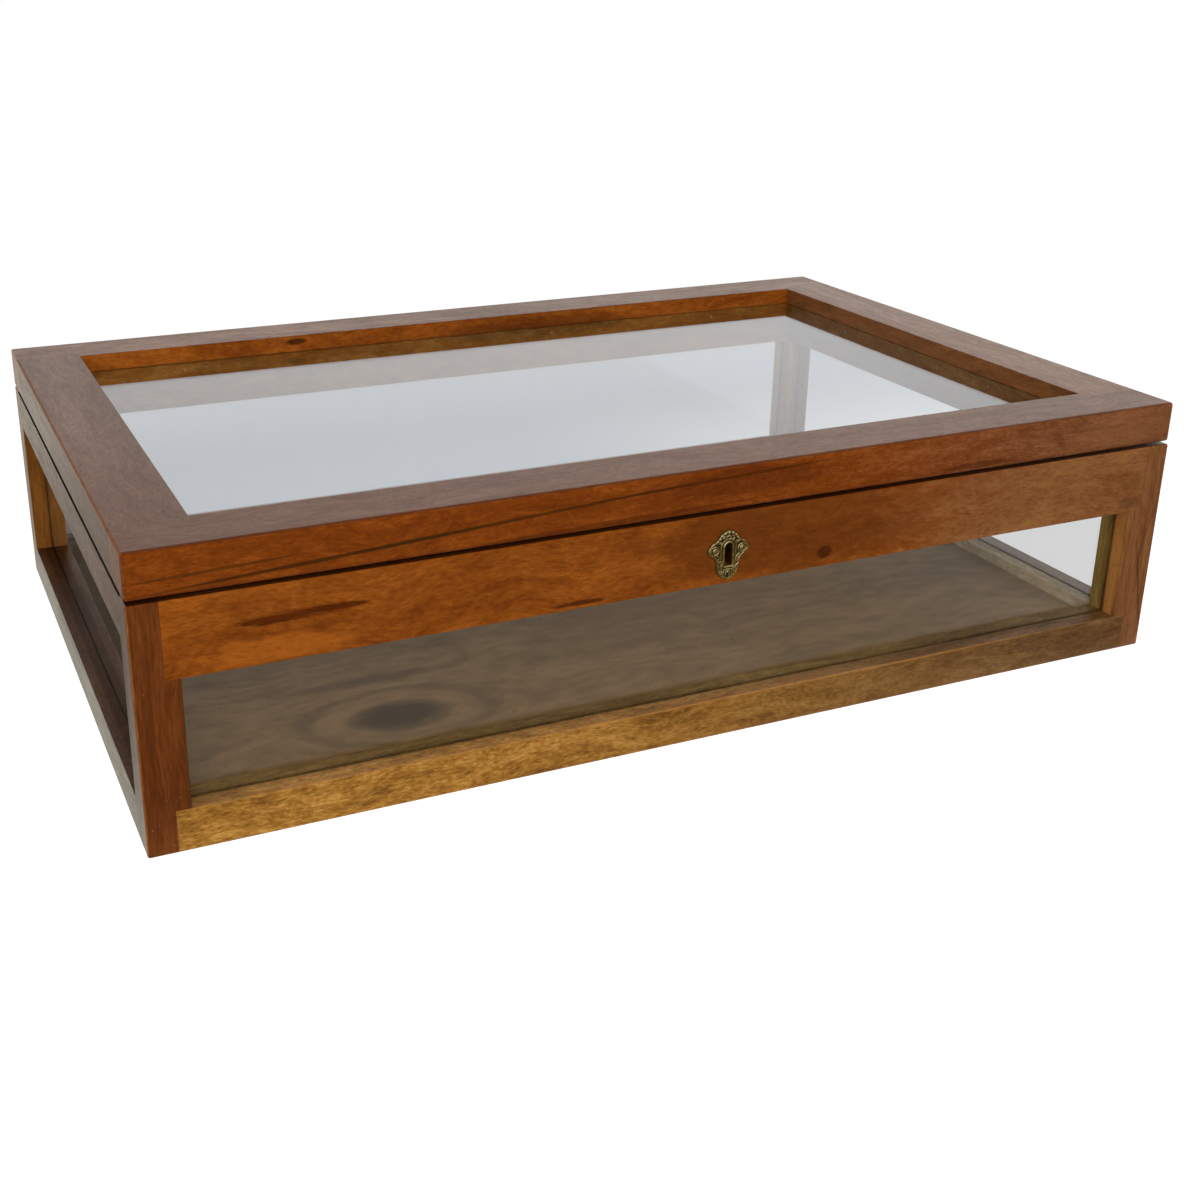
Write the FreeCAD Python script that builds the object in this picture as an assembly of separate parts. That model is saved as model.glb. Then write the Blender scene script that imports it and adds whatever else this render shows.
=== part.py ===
import FreeCAD, Part
import math
import os

# Glazed table display case: a post-and-rail case with a pane in each side, a boarded floor, and a
# hinged glazed lid held by a box lock. Millimetres, X to the right, Y to the back, Z up. The origin
# is under the middle of the case.

# case
CASE_W = 620.0           # over the posts, left to right
CASE_D = 400.0           # over the posts, front to back
CASE_H = 132.5           # without the lid
STOCK = 23.0             # posts are square, rails are this thick
RAIL_H = 23.0            # height of every case rail but the front top one
FRONT_RAIL_H = 40.0      # the front top rail is deeper, to hold the lock
LAP = 8.0                # how far a rail's end is let into its post
TENON_T = 8.0
TENON_L = 7.0
TENON_IN = 4.0           # outer face to the tenon
TENON_SHOULDER = 4.0     # rail's edge to the tenon's edge
ARRIS = 1.2              # radius on every outer edge
PANE_T = 3.0
PANE_IN = 10.5           # outer face to the glass
GROOVE = 5.0             # depth of the grooves for the panes and the floor
PANE_CLEAR = 0.15        # each side of a pane in its groove
EDGE_GAP = 0.5           # a pane's or panel's edge to the bottom of its groove
FLOOR_T = 6.0
FLOOR_Z = 10.0           # underside of the floor
FLOOR_CLEAR = 0.2

# lid
LID_GAP = 1.5            # case to lid, taken up by the hinge knuckles
LID_T = 24.0
LID_RAIL_W = 39.0
LID_LAP = 7.0            # how far a stile's end is let into a rail
LID_TENON_L = 12.0
LID_TENON_T = 8.0
LID_TENON_IN = 6.0       # outer and inner edge of the stile to the tenon's edges
LID_CORNER_R = 3.0
LIP_T = 10.8             # wood left above the glass
REBATE_W = 8.0
GLASS_GAP = 1.0          # edge of the lid's glass to the side of its rebate
BEAD_SET = 0.6           # underside of the lid to the underside of the bead
BRAD_R = 0.6
BRAD_L = 14.0
BRAD_STEP = 130.0        # about this far between the brads of a bead

# hinges: two brass butts let into the back rails, knuckle outwards
HINGE_END = 100.0        # end of the case to the middle of a hinge
HINGE_L = 50.0
LEAF_W = 14.0            # from the pin's centre line
LEAF_T = 1.2
KNUCKLE_R = 2.75
KNUCKLES = 5
KNUCKLE_GAP = 0.3
HINGE_PIN_R = 1.2
HINGE_PIN_CLEAR = 0.05
HINGE_PIN_IN = 0.5       # back face to the pin's centre line
KNUCKLE_CLEAR = 0.4      # knuckle to the wood it is let into
HINGE_SCREW_STEP = 17.0
HINGE_SCREW_R = 1.3
HINGE_SCREW_HEAD_R = 2.5
HINGE_SCREW_L = 13.0

# box lock, let into the inside of the front top rail
LOCK_X = 5.0             # the key's centre line, right of the middle
PIN_DROP = 19.0          # top of the case to the key's centre
PLATE_W = 56.0
PLATE_T = 1.2
LOCK_MARGIN = 7.5        # lower edge of the lock plate to the lower edge of the rail
SELVEDGE_T = 1.5
SELVEDGE_W = 12.0
CAP_W = 44.0
CAP_DEPTH = 9.0
CAP_T = 1.0
CAP_SET = 0.5            # lower edge of the plate to the lower edge of the cap
MORTISE_CLEAR = 0.2
DRILL_PIN_R = 1.2
DRILL_PIN_IN = 3.0       # front face to the end of the drill pin
KEYHOLE_W = 4.6
KEYHOLE_H = 12.9
LOCK_SCREW_R = 1.1
LOCK_SCREW_HEAD_R = 2.1
LOCK_SCREW_L = 9.0
SCREW_EDGE = 3.0         # end or edge of a plate to the screw's centre
SCREW_SLOT_W = 0.8
SCREW_SLOT_D = 0.6

# bolt, link plate and staples
STAPLE_STEP = 20.0       # between the two staples
STAPLE_T = 2.2
STAPLE_W = 6.0
STAPLE_L = 12.0
STAPLE_LEG = 1.5
STAPLE_BAR = 1.3
STAPLE_HOLE_H = 4.6
SLOT_CLEAR = 0.7         # staple to the slot it drops through
LINK_T = 1.5
BOLT_T = 2.0
BOLT_H = 4.6
BOLT_TRAVEL = 6.0
BOLT_END = 12.0          # key's centre line to the bolt's right end, drawn back
BOLT_DROP = 1.2          # end of a staple to the bolt's bar
ARM_W = 2.4
FINGER_L = 5.6
FINGER_CLEAR = 0.7
FINGER_GAP = 0.9         # staple to the finger's tip, drawn back
TALON_W = 5.0
TALON_H = 2.6
STUD_R = 1.0
STUD_CLEAR = 0.3
STUD_X = 9.0             # guide studs, each side of the key's centre line
SPRING_T = 0.4
SPRING_REACH = 2.7       # how far the spring bows from the bolt towards the plate
SPRING_DROP = 15.0

# keyhole plate
PLATE_PROUD = 1.4
KEYHOLE_RIM = 1.1
RELIEF = 0.5             # rim and bosses above the plate
ESC_W = 25.0
ESC_H = 28.4
ESC_RISE = 4.6           # the plate's middle below the key's centre
BOSS_X = 8.2
BOSS_Z = 3.2
BOSS_R = 2.4
END_BOSS_R = 1.6
END_BOSS_Z = 10.4
ESC_PIN_R = 0.7
ESC_PIN_HEAD_R = 1.2
ESC_PIN_HEAD_T = 0.3
ESC_PIN_L = 8.0

# right half of the keyhole plate's outline from top to bottom, as shares of its half width and half
# height: each arc runs from the last point through the first one named to the second
ESC_TOP = (0.0, 1.0)
ESC_ARCS = [((0.34, 0.86), (0.55, 0.61)),       # top lobe
            ((0.74, 0.54), (0.92, 0.39)),       # shoulder
            ((1.00, 0.25), (0.80, 0.00)),       # ear
            ((0.65, -0.11), (0.55, -0.34)),     # waist
            ((0.50, -0.64), (0.36, -0.84)),     # side of the foot
            ((0.20, -0.95), (0.0, -1.0))]       # foot

# levels and places worked out from the sizes above
LID_Z = CASE_H + LID_GAP
LID_TOP = LID_Z + LID_T
KEY_Z = CASE_H - PIN_DROP
PLATE_Z = CASE_H - FRONT_RAIL_H + LOCK_MARGIN
STAPLE_Z = LID_Z - STAPLE_L
CAP_IN = STOCK - PLATE_T - CAP_DEPTH             # outer face to the cap
STAPLE_IN = (CAP_IN + CAP_T + STOCK - PLATE_T) / 2
HINGE_Y = CASE_D / 2 - HINGE_PIN_IN
HINGE_Z = CASE_H + LID_GAP / 2
HALF = {"front": CASE_W / 2, "back": CASE_W / 2, "left": CASE_D / 2, "right": CASE_D / 2}
FACE = {"front": -CASE_D / 2, "back": CASE_D / 2, "left": -CASE_W / 2, "right": CASE_W / 2}
TOP_RAIL_H = {"front": FRONT_RAIL_H, "back": RAIL_H, "left": RAIL_H, "right": RAIL_H}
CORNERS = {"front_left": (-1, -1), "front_right": (1, -1), "back_left": (-1, 1), "back_right": (1, 1)}
PAST = 1.0               # how far a cutting tool runs past what it cuts
V = FreeCAD.Vector

parts = {}


def box(x, y, z):
    """Block between two values along each axis, in either order."""
    (x0, x1), (y0, y1), (z0, z1) = sorted(x), sorted(y), sorted(z)
    return Part.makeBox(x1 - x0, y1 - y0, z1 - z0, V(x0, y0, z0))


def corner_point(corner, x, y):
    """Place x in from the side face and y in from the front or back face of a corner."""
    side, face = CORNERS[corner]
    return side * (CASE_W / 2 - x), face * (CASE_D / 2 - y)


def corner_box(corner, x, y, z):
    xs, ys = zip(*(corner_point(corner, a, b) for a, b in zip(x, y)))
    return box(xs, ys, z)


def corner_prism(corner, points, z):
    ring = [V(*corner_point(corner, x, y), z[0]) for x, y in points]
    return Part.Face(Part.makePolygon(ring + ring[:1])).extrude(V(0, 0, z[1] - z[0]))


def wall_point(wall, along, depth, z):
    """Place along a wall from its middle, in from its outer face, and up."""
    across = FACE[wall] - math.copysign(depth, FACE[wall])
    return (along, across, z) if wall in ("front", "back") else (across, along, z)


def wall_box(wall, along, depth, z):
    return box(*zip(*(wall_point(wall, a, d, level) for a, d, level in zip(along, depth, z))))


def rod(radius, start, end):
    line = V(*end) - V(*start)
    return Part.makeCylinder(radius, line.Length, V(*start), line)


def near(a, b):
    return abs(a - b) < 1e-4


def rounded(shape, radius, test):
    """Round the edges whose ends both pass the test."""
    edges = [e for e in shape.Edges if all(test(v.Point) for v in e.Vertexes)]
    return shape.makeFillet(radius, edges)


def on_outside(point):
    return near(abs(point.x), CASE_W / 2) or near(abs(point.y), CASE_D / 2)


def cut(name, *tools):
    parts[name] = parts[name].cut(list(tools))


def corners_of(wall):
    return [c for c in CORNERS if wall in c.split("_")]


def mitre_waste(wall, corner, depth, z):
    """The half of a corner that belongs to the rail of the other wall."""
    if wall in ("front", "back"):
        return corner_prism(corner, [(0, 0), (depth, depth), (0, depth)], z)
    return corner_prism(corner, [(0, 0), (depth, depth), (depth, 0)], z)


def window(wall):
    """Half length, bottom and top of the clear opening in a wall."""
    return HALF[wall] - STOCK, RAIL_H, CASE_H - TOP_RAIL_H[wall]


# rails: each end is let into its post, carries a stub tenon and is mitred against its neighbour
def case_rail(wall, z, outer_edge_z):
    shoulder = HALF[wall] - STOCK + LAP
    rail = wall_box(wall, (-shoulder, shoulder), (0, STOCK), z)
    rail = rounded(rail, ARRIS, lambda p: on_outside(p) and near(p.z, outer_edge_z))
    reach = shoulder + TENON_L
    tenons = wall_box(wall, (-reach, reach), (TENON_IN, TENON_IN + TENON_T),
                      (z[0] + TENON_SHOULDER, z[1] - TENON_SHOULDER))
    rail = rail.fuse(tenons)
    for corner in corners_of(wall):
        rail = rail.cut(mitre_waste(wall, corner, STOCK, (-PAST, CASE_H + PAST)))
    return rail


def pane_groove(wall):
    half, low, high = window(wall)
    return wall_box(wall, (-half - GROOVE, half + GROOVE),
                    (PANE_IN - PANE_CLEAR, PANE_IN + PANE_T + PANE_CLEAR), (low - GROOVE, high + GROOVE))


def case_pane(wall):
    """A pane stands on the bottom of its groove."""
    half, low, high = window(wall)
    side = half + GROOVE - EDGE_GAP
    levels = (low - GROOVE, high + GROOVE - EDGE_GAP)
    return wall_box(wall, (-side, side), (PANE_IN, PANE_IN + PANE_T), levels)


for wall in HALF:
    top = (CASE_H - TOP_RAIL_H[wall], CASE_H)
    parts[wall + "_top_rail"] = case_rail(wall, top, CASE_H).cut(pane_groove(wall))
    inside = HALF[wall] - STOCK
    floor_groove = wall_box(wall, (-inside, inside), (STOCK - GROOVE, STOCK + PAST),
                            (FLOOR_Z, FLOOR_Z + FLOOR_T + FLOOR_CLEAR))
    parts[wall + "_bottom_rail"] = case_rail(wall, (0, RAIL_H), 0).cut([pane_groove(wall), floor_groove])
    parts[wall + "_pane"] = case_pane(wall)

for corner in CORNERS:
    post = corner_box(corner, (0, STOCK), (0, STOCK), (0, CASE_H))
    inner = corner_point(corner, STOCK, STOCK)
    post = rounded(post, ARRIS, lambda p: on_outside(p) and not (near(p.x, inner[0]) and near(p.y, inner[1])))
    for wall in corner.split("_"):
        post = post.cut([parts[wall + "_top_rail"], parts[wall + "_bottom_rail"], pane_groove(wall)])
    parts[corner + "_post"] = post

# floor panel, in the grooves of the bottom rails and notched round the posts
edge = STOCK - GROOVE + EDGE_GAP
floor = box((-CASE_W / 2 + edge, CASE_W / 2 - edge), (-CASE_D / 2 + edge, CASE_D / 2 - edge),
            (FLOOR_Z, FLOOR_Z + FLOOR_T))
notch = (0, STOCK + EDGE_GAP)
parts["floor_panel"] = floor.cut([corner_box(c, notch, notch, (0, CASE_H)) for c in CORNERS])


# lid frame: the front and back rails run through, the stiles are let into them with stub tenons
def lid_rail(wall):
    half = CASE_W / 2
    rail = wall_box(wall, (-half, half), (0, LID_RAIL_W), (LID_Z, LID_TOP))
    face = CASE_D / 2 * (1 if wall == "back" else -1)
    rail = rounded(rail, LID_CORNER_R, lambda p: near(p.y, face) and near(abs(p.x), half))
    for level in (LID_Z, LID_TOP):
        rail = rounded(rail, ARRIS, lambda p: on_outside(p) and near(p.z, level))
    return rail


def lid_stile(wall):
    shoulder = CASE_D / 2 - LID_RAIL_W + LID_LAP
    stile = wall_box(wall, (-shoulder, shoulder), (0, LID_RAIL_W), (LID_Z, LID_TOP))
    for level in (LID_Z, LID_TOP):
        stile = rounded(stile, ARRIS, lambda p: near(abs(p.x), CASE_W / 2) and near(p.z, level))
    reach = shoulder + LID_TENON_L
    middle = (LID_Z + LID_TOP) / 2
    tenons = wall_box(wall, (-reach, reach), (LID_TENON_IN, LID_RAIL_W - REBATE_W - LID_TENON_IN),
                      (middle - LID_TENON_T / 2, middle + LID_TENON_T / 2))
    return stile.fuse(tenons)


def lid_ring(inset, z):
    """Block over the lid's opening, its edges inset from the outer faces."""
    return box((-CASE_W / 2 + inset, CASE_W / 2 - inset), (-CASE_D / 2 + inset, CASE_D / 2 - inset), z)


GLASS_TOP = LID_TOP - LIP_T
rebate = lid_ring(LID_RAIL_W - REBATE_W, (LID_Z - PAST, GLASS_TOP))
for wall in ("left", "right"):
    parts["lid_" + wall + "_stile"] = lid_stile(wall).cut(rebate)
for wall in ("front", "back"):
    stiles = [lid_stile("left"), lid_stile("right")]
    parts["lid_" + wall + "_rail"] = lid_rail(wall).cut(stiles + [rebate])
parts["lid_glass"] = lid_ring(LID_RAIL_W - REBATE_W + GLASS_GAP, (GLASS_TOP - PANE_T, GLASS_TOP))

# glazing beads under the lid's glass, mitred, flush with the opening
bead_z = (LID_Z + BEAD_SET, GLASS_TOP - PANE_T)
out, inn = LID_RAIL_W - REBATE_W, LID_RAIL_W
for wall in HALF:
    outer = [corner_point(c, out, out) for c in corners_of(wall)]
    inner = [corner_point(c, inn, inn) for c in reversed(corners_of(wall))]
    ring = [V(x, y, bead_z[0]) for x, y in outer + inner]
    bead = Part.Face(Part.makePolygon(ring + ring[:1])).extrude(V(0, 0, bead_z[1] - bead_z[0]))
    parts["lid_" + wall + "_bead"] = bead

# brads that hold the beads: driven level through a bead into the frame
brads = []
for wall in HALF:
    length = 2 * (HALF[wall] - LID_RAIL_W)
    count = round(length / BRAD_STEP)
    for n in range(count):
        along = ((n + 0.5) / count - 0.5) * length
        ends = [wall_point(wall, along, depth, sum(bead_z) / 2) for depth in (inn, inn - BRAD_L)]
        brads.append(rod(BRAD_R, *ends))
parts["lid_bead_brads"] = Part.makeCompound(brads)
for wall in HALF:
    member = "_rail" if wall in ("front", "back") else "_stile"
    cut("lid_" + wall + member, *brads)
    cut("lid_" + wall + "_bead", *brads)


# countersunk wood screw with a slotted head: head at the origin, shank down
def screw(radius, head_radius, length):
    cone = head_radius - radius
    point = 2 * radius
    body = Part.makeCone(radius, head_radius, cone, V(0, 0, -cone))
    body = body.fuse(Part.makeCylinder(radius, length - cone - point, V(0, 0, -length + point)))
    body = body.fuse(Part.makeCone(0, radius, point, V(0, 0, -length)))
    slot = box((-head_radius, head_radius), (-SCREW_SLOT_W / 2, SCREW_SLOT_W / 2), (-SCREW_SLOT_D, PAST))
    return body, body.cut(slot)


def put(shape, point, turn=0):
    shape = shape.copy()
    shape.rotate(V(0, 0, 0), V(1, 0, 0), turn)
    shape.translate(V(*point))
    return shape


DOWN, UP, FORWARD = 0, 180, -90      # which way a screw's shank points, as a turn about X
hinge_screw = screw(HINGE_SCREW_R, HINGE_SCREW_HEAD_R, HINGE_SCREW_L)
lock_screw = screw(LOCK_SCREW_R, LOCK_SCREW_HEAD_R, LOCK_SCREW_L)


# hinges: the case's leaf has the odd knuckles, the lid's leaf the even ones
def hinge_rod(radius, start, end):
    return rod(radius, (start, HINGE_Y, HINGE_Z), (end, HINGE_Y, HINGE_Z))


def knuckle_rods(x, radius, own, gap):
    """Cylinders on the pin's line over every second knuckle, starting with the first if own is 0."""
    step = HINGE_L / KNUCKLES
    rods = []
    for n in range(own, KNUCKLES, 2):
        start = x - HINGE_L / 2 + n * step + (gap if n else 0)
        end = x - HINGE_L / 2 + (n + 1) * step - (gap if n + 1 < KNUCKLES else 0)
        rods.append(hinge_rod(radius, start, end))
    return rods


def hinge_leaf(x, own, z):
    leaf = box((x - HINGE_L / 2, x + HINGE_L / 2), (HINGE_Y - LEAF_W, HINGE_Y), z)
    half_gap = KNUCKLE_GAP / 2
    leaf = leaf.cut(knuckle_rods(x, KNUCKLE_R + KNUCKLE_CLEAR, 1 - own, -half_gap))
    leaf = leaf.fuse(knuckle_rods(x, KNUCKLE_R, own, half_gap))
    return leaf.cut(hinge_rod(HINGE_PIN_R + HINGE_PIN_CLEAR, x - HINGE_L, x + HINGE_L))


case_leaf_z = (CASE_H - LEAF_T, CASE_H)
lid_leaf_z = (LID_Z, LID_Z + LEAF_T)
case_screws, lid_screws, pins = [], [], []
for side, x in (("left", HINGE_END - CASE_W / 2), ("right", CASE_W / 2 - HINGE_END)):
    places = [x + n * HINGE_SCREW_STEP for n in (-1, 0, 1)]
    row = HINGE_Y - (LEAF_W + KNUCKLE_R) / 2
    left, right = x - HINGE_L / 2, x + HINGE_L / 2
    knuckle_room = hinge_rod(KNUCKLE_R + KNUCKLE_CLEAR, left - KNUCKLE_CLEAR, right + KNUCKLE_CLEAR)
    pins.append(hinge_rod(HINGE_PIN_R, left, right))
    for owner, own, z, level, turn, screws, wood in (
            ("case", 0, case_leaf_z, CASE_H, DOWN, case_screws, "back_top_rail"),
            ("lid", 1, lid_leaf_z, LID_Z, UP, lid_screws, "lid_back_rail")):
        whole = [put(hinge_screw[0], (place, row, level), turn) for place in places]
        screws += [put(hinge_screw[1], (place, row, level), turn) for place in places]
        recess = box((left, right), (HINGE_Y - LEAF_W, HINGE_Y + PAST), z)
        parts[side + "_hinge_" + owner + "_leaf"] = hinge_leaf(x, own, z).cut(whole)
        cut(wood, recess, knuckle_room, *whole)
parts["hinge_pins"] = Part.makeCompound(pins)
parts["case_hinge_screws"] = Part.makeCompound(case_screws)
parts["lid_hinge_screws"] = Part.makeCompound(lid_screws)


# lock: sizes across run from the key's centre line, depths from the front face
def lock_box(x, depth, z):
    return box([LOCK_X + v for v in x], [d - CASE_D / 2 for d in depth], z)


def lock_rod(radius, x, z, depth):
    ends = [(LOCK_X + x, d - CASE_D / 2, z) for d in depth]
    return rod(radius, *ends)


def keyhole(depth, grow=0.0):
    """Slot with a round top about the key's centre, through the given depths."""
    half = KEYHOLE_W / 2 + grow
    low = KEY_Z + KEYHOLE_W / 2 - KEYHOLE_H - grow
    return lock_rod(half, 0, KEY_Z, depth).fuse(lock_box((-half, half), depth, (low, KEY_Z)))


plate_half, cap_half = PLATE_W / 2, CAP_W / 2
plate_in = STOCK - PLATE_T
cap_z = (PLATE_Z + CAP_SET, CASE_H - SELVEDGE_T)
staple_x = [-STAPLE_STEP / 2, STAPLE_STEP / 2]
bar_top = STAPLE_Z - BOLT_DROP
bar_low = bar_top - BOLT_H
bar_mid = (bar_low + bar_top) / 2
studs = [lock_rod(STUD_R, x, bar_mid, (CAP_IN + CAP_T, STOCK - PLATE_T / 2)) for x in (-STUD_X, STUD_X)]
slot_half = (STAPLE_T / 2 + SLOT_CLEAR, STAPLE_W / 2 + SLOT_CLEAR)
slots = [lock_box((x - slot_half[0], x + slot_half[0]), (STAPLE_IN - slot_half[1], STAPLE_IN + slot_half[1]),
                  (CASE_H - SELVEDGE_T - PAST, CASE_H + PAST)) for x in staple_x]
screw_x = plate_half - SCREW_EDGE
selvedge_mid = STOCK - SELVEDGE_W / 2
down_places = [(LOCK_X + x, selvedge_mid - CASE_D / 2, CASE_H) for x in (-screw_x, screw_x)]
back_places = [(LOCK_X + x, STOCK - CASE_D / 2, PLATE_Z + SCREW_EDGE) for x in (-screw_x, screw_x)]
lock_screws = [[put(lock_screw[n], p, DOWN) for p in down_places]
               + [put(lock_screw[n], p, FORWARD) for p in back_places] for n in (0, 1)]

plate = lock_box((-plate_half, plate_half), (plate_in, STOCK), (PLATE_Z, CASE_H))
selvedge = lock_box((-plate_half, plate_half), (STOCK - SELVEDGE_W, STOCK), (CASE_H - SELVEDGE_T, CASE_H))
drill_pin = lock_rod(DRILL_PIN_R, 0, KEY_Z, (DRILL_PIN_IN, STOCK))
parts["lock_plate"] = plate.fuse([selvedge] + studs).cut(slots + lock_screws[0] + [drill_pin])
parts["lock_drill_pin"] = drill_pin
parts["lock_screws"] = Part.makeCompound(lock_screws[1])

cap = lock_box((-cap_half, cap_half), (CAP_IN, plate_in), cap_z)
cap_room = lock_box((-cap_half + CAP_T, cap_half - CAP_T), (CAP_IN + CAP_T, plate_in + PAST),
                    (cap_z[0] + CAP_T, cap_z[1] + PAST))
through = (-PLATE_PROUD - RELIEF - PAST, CAP_IN + CAP_T + PAST)
parts["lock_cap"] = cap.cut([cap_room, keyhole(through)])

# bolt: a bar that slides sideways on two studs and puts two fingers through the lid's staples
bolt_in = (STAPLE_IN - BOLT_T / 2, STAPLE_IN + BOLT_T / 2)
finger_z = (STAPLE_Z + STAPLE_BAR + FINGER_CLEAR, STAPLE_Z + STAPLE_BAR + STAPLE_HOLE_H - FINGER_CLEAR)
tips = [x - STAPLE_T / 2 - FINGER_GAP for x in staple_x]
bolt_start = tips[0] - FINGER_L - ARM_W
bolt = lock_box((bolt_start, BOLT_END), bolt_in, (bar_low, bar_top))
for tip in tips:
    root = tip - FINGER_L - ARM_W
    bolt = bolt.fuse([lock_box((root, root + ARM_W), bolt_in, (bar_low, finger_z[1])),
                      lock_box((root, tip), bolt_in, finger_z)])
talon = lock_box((-BOLT_TRAVEL / 2 - TALON_W / 2, -BOLT_TRAVEL / 2 + TALON_W / 2),
                 (0, STOCK), (bar_low - PAST, bar_low + TALON_H))
stud_room = STUD_R + STUD_CLEAR
runs = [lock_box((x - BOLT_TRAVEL - stud_room, x + stud_room), (0, STOCK),
                 (bar_mid - stud_room, bar_mid + stud_room)) for x in (-STUD_X, STUD_X)]
parts["lock_bolt"] = bolt.cut([talon] + runs)

# leaf spring riveted to the bolt's left end: it bows towards the plate and holds the bolt where it is
spring_y = bolt_in[1] - CASE_D / 2
points = [(0, 0), (0, -BOLT_H), (SPRING_REACH - SPRING_T, -(BOLT_H + SPRING_DROP) / 2), (0, -SPRING_DROP)]
outer = [V(LOCK_X + bolt_start, spring_y + y + SPRING_T, bar_top + z) for y, z in points]
inner = [V(LOCK_X + bolt_start, spring_y + y, bar_top + z) for y, z in points]
edges = [Part.makeLine(outer[0], outer[1]), Part.Arc(outer[1], outer[2], outer[3]).toShape(),
         Part.makeLine(outer[3], inner[3]), Part.Arc(inner[3], inner[2], inner[1]).toShape(),
         Part.makeLine(inner[1], inner[0]), Part.makeLine(inner[0], outer[0])]
parts["lock_spring"] = Part.Face(Part.Wire(edges)).extrude(V(ARM_W, 0, 0))

# link plate in the lid's underside, with two staples that hang into the lock
link_recess = lock_box((-plate_half, plate_half), (STOCK - SELVEDGE_W, STOCK), (LID_Z, LID_Z + LINK_T))
link = link_recess
staple_half = STAPLE_W / 2
eye_half = staple_half - STAPLE_LEG
for x in staple_x:
    staple = lock_box((x - STAPLE_T / 2, x + STAPLE_T / 2),
                      (STAPLE_IN - staple_half, STAPLE_IN + staple_half), (STAPLE_Z, LID_Z + LINK_T))
    eye = lock_box((x - STAPLE_T, x + STAPLE_T), (STAPLE_IN - eye_half, STAPLE_IN + eye_half),
                   (STAPLE_Z + STAPLE_BAR, STAPLE_Z + STAPLE_BAR + STAPLE_HOLE_H))
    link = link.fuse(staple).cut(eye)
link_places = [(LOCK_X + x, selvedge_mid - CASE_D / 2, LID_Z) for x in (-screw_x, screw_x)]
link_screws = [[put(lock_screw[n], p, UP) for p in link_places] for n in (0, 1)]
parts["link_plate"] = link.cut(link_screws[0])
parts["link_plate_screws"] = Part.makeCompound(link_screws[1])
cut("lid_front_rail", link_recess, *link_screws[0])


# keyhole plate: a cast outline with a rim round the keyhole and small bosses, held by two pins
def esc_point(share, depth):
    return V(LOCK_X + share[0] * ESC_W / 2, depth - CASE_D / 2, KEY_Z - ESC_RISE + share[1] * ESC_H / 2)


def mirrored(share):
    return (-share[0], share[1])


def esc_outline(depth):
    edges, last = [], ESC_TOP
    for through_point, end in ESC_ARCS:
        for flip in (lambda s: s, mirrored):
            arc = Part.Arc(*(esc_point(flip(s), depth) for s in (last, through_point, end)))
            edges.append(arc.toShape())
        last = end
    return Part.Wire(Part.__sortEdges__(edges))


esc = Part.Face(esc_outline(0)).extrude(V(0, -PLATE_PROUD, 0))
face_depth = (-PLATE_PROUD - RELIEF, 0)
esc_mid = KEY_Z - ESC_RISE
bosses = [lock_rod(BOSS_R, x, esc_mid + BOSS_Z, face_depth) for x in (-BOSS_X, BOSS_X)]
bosses += [lock_rod(END_BOSS_R, 0, esc_mid + z, face_depth) for z in (-END_BOSS_Z, END_BOSS_Z)]
esc = esc.fuse(bosses + [keyhole(face_depth, KEYHOLE_RIM)]).cut(keyhole(through))
esc_pins = []
for x in (-BOSS_X, BOSS_X):
    shank = lock_rod(ESC_PIN_R, x, esc_mid + BOSS_Z, (-PLATE_PROUD - RELIEF, ESC_PIN_L))
    head = lock_rod(ESC_PIN_HEAD_R, x, esc_mid + BOSS_Z,
                    (-PLATE_PROUD - RELIEF - ESC_PIN_HEAD_T, -PLATE_PROUD - RELIEF))
    esc_pins.append(shank.fuse(head))
parts["keyhole_plate"] = esc.cut(esc_pins)
parts["keyhole_plate_pins"] = Part.makeCompound(esc_pins)

plate_recess = lock_box((-plate_half, plate_half), (plate_in, STOCK + PAST), (PLATE_Z, CASE_H + PAST))
selvedge_recess = lock_box((-plate_half, plate_half), (STOCK - SELVEDGE_W, STOCK),
                           (CASE_H - SELVEDGE_T, CASE_H + PAST))
cap_recess = lock_box((-cap_half - MORTISE_CLEAR, cap_half + MORTISE_CLEAR), (CAP_IN, STOCK),
                      (cap_z[0] - MORTISE_CLEAR, CASE_H))
cut("front_top_rail", plate_recess, selvedge_recess, cap_recess, keyhole(through), *lock_screws[0], *esc_pins)

os.makedirs("parts", exist_ok=True)
for name, shape in parts.items():
    shape.exportStep("parts/" + name + ".step")
    print(name, len(shape.Solids), "solid(s)", round(shape.Volume, 1), "mm3")
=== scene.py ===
import math

import bmesh
import bpy
import numpy as np
from mathutils import Matrix, Vector
from mathutils.bvhtree import BVHTree


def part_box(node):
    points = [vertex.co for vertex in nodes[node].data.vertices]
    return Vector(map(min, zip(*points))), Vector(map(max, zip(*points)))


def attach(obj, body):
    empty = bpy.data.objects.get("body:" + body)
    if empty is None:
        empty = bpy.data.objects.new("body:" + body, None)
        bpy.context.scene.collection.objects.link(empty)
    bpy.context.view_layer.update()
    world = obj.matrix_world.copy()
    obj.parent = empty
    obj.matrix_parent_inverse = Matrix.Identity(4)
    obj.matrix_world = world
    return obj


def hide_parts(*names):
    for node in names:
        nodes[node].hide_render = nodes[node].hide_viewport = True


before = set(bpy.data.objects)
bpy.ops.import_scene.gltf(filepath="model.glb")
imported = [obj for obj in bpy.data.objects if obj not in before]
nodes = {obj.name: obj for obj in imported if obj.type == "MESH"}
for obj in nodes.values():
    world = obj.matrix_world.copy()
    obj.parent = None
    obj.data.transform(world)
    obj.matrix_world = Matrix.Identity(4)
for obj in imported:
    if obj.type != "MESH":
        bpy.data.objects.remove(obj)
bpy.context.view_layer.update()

MM = 0.001


# ---------------------------------------------------------------------------
# Studio. The chest stands on a pale seamless sweep between one broad soft lamp overhead and one in
# front. Gloss and glass meet a white studio behind and above the chest and a dark one in front of it.

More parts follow.
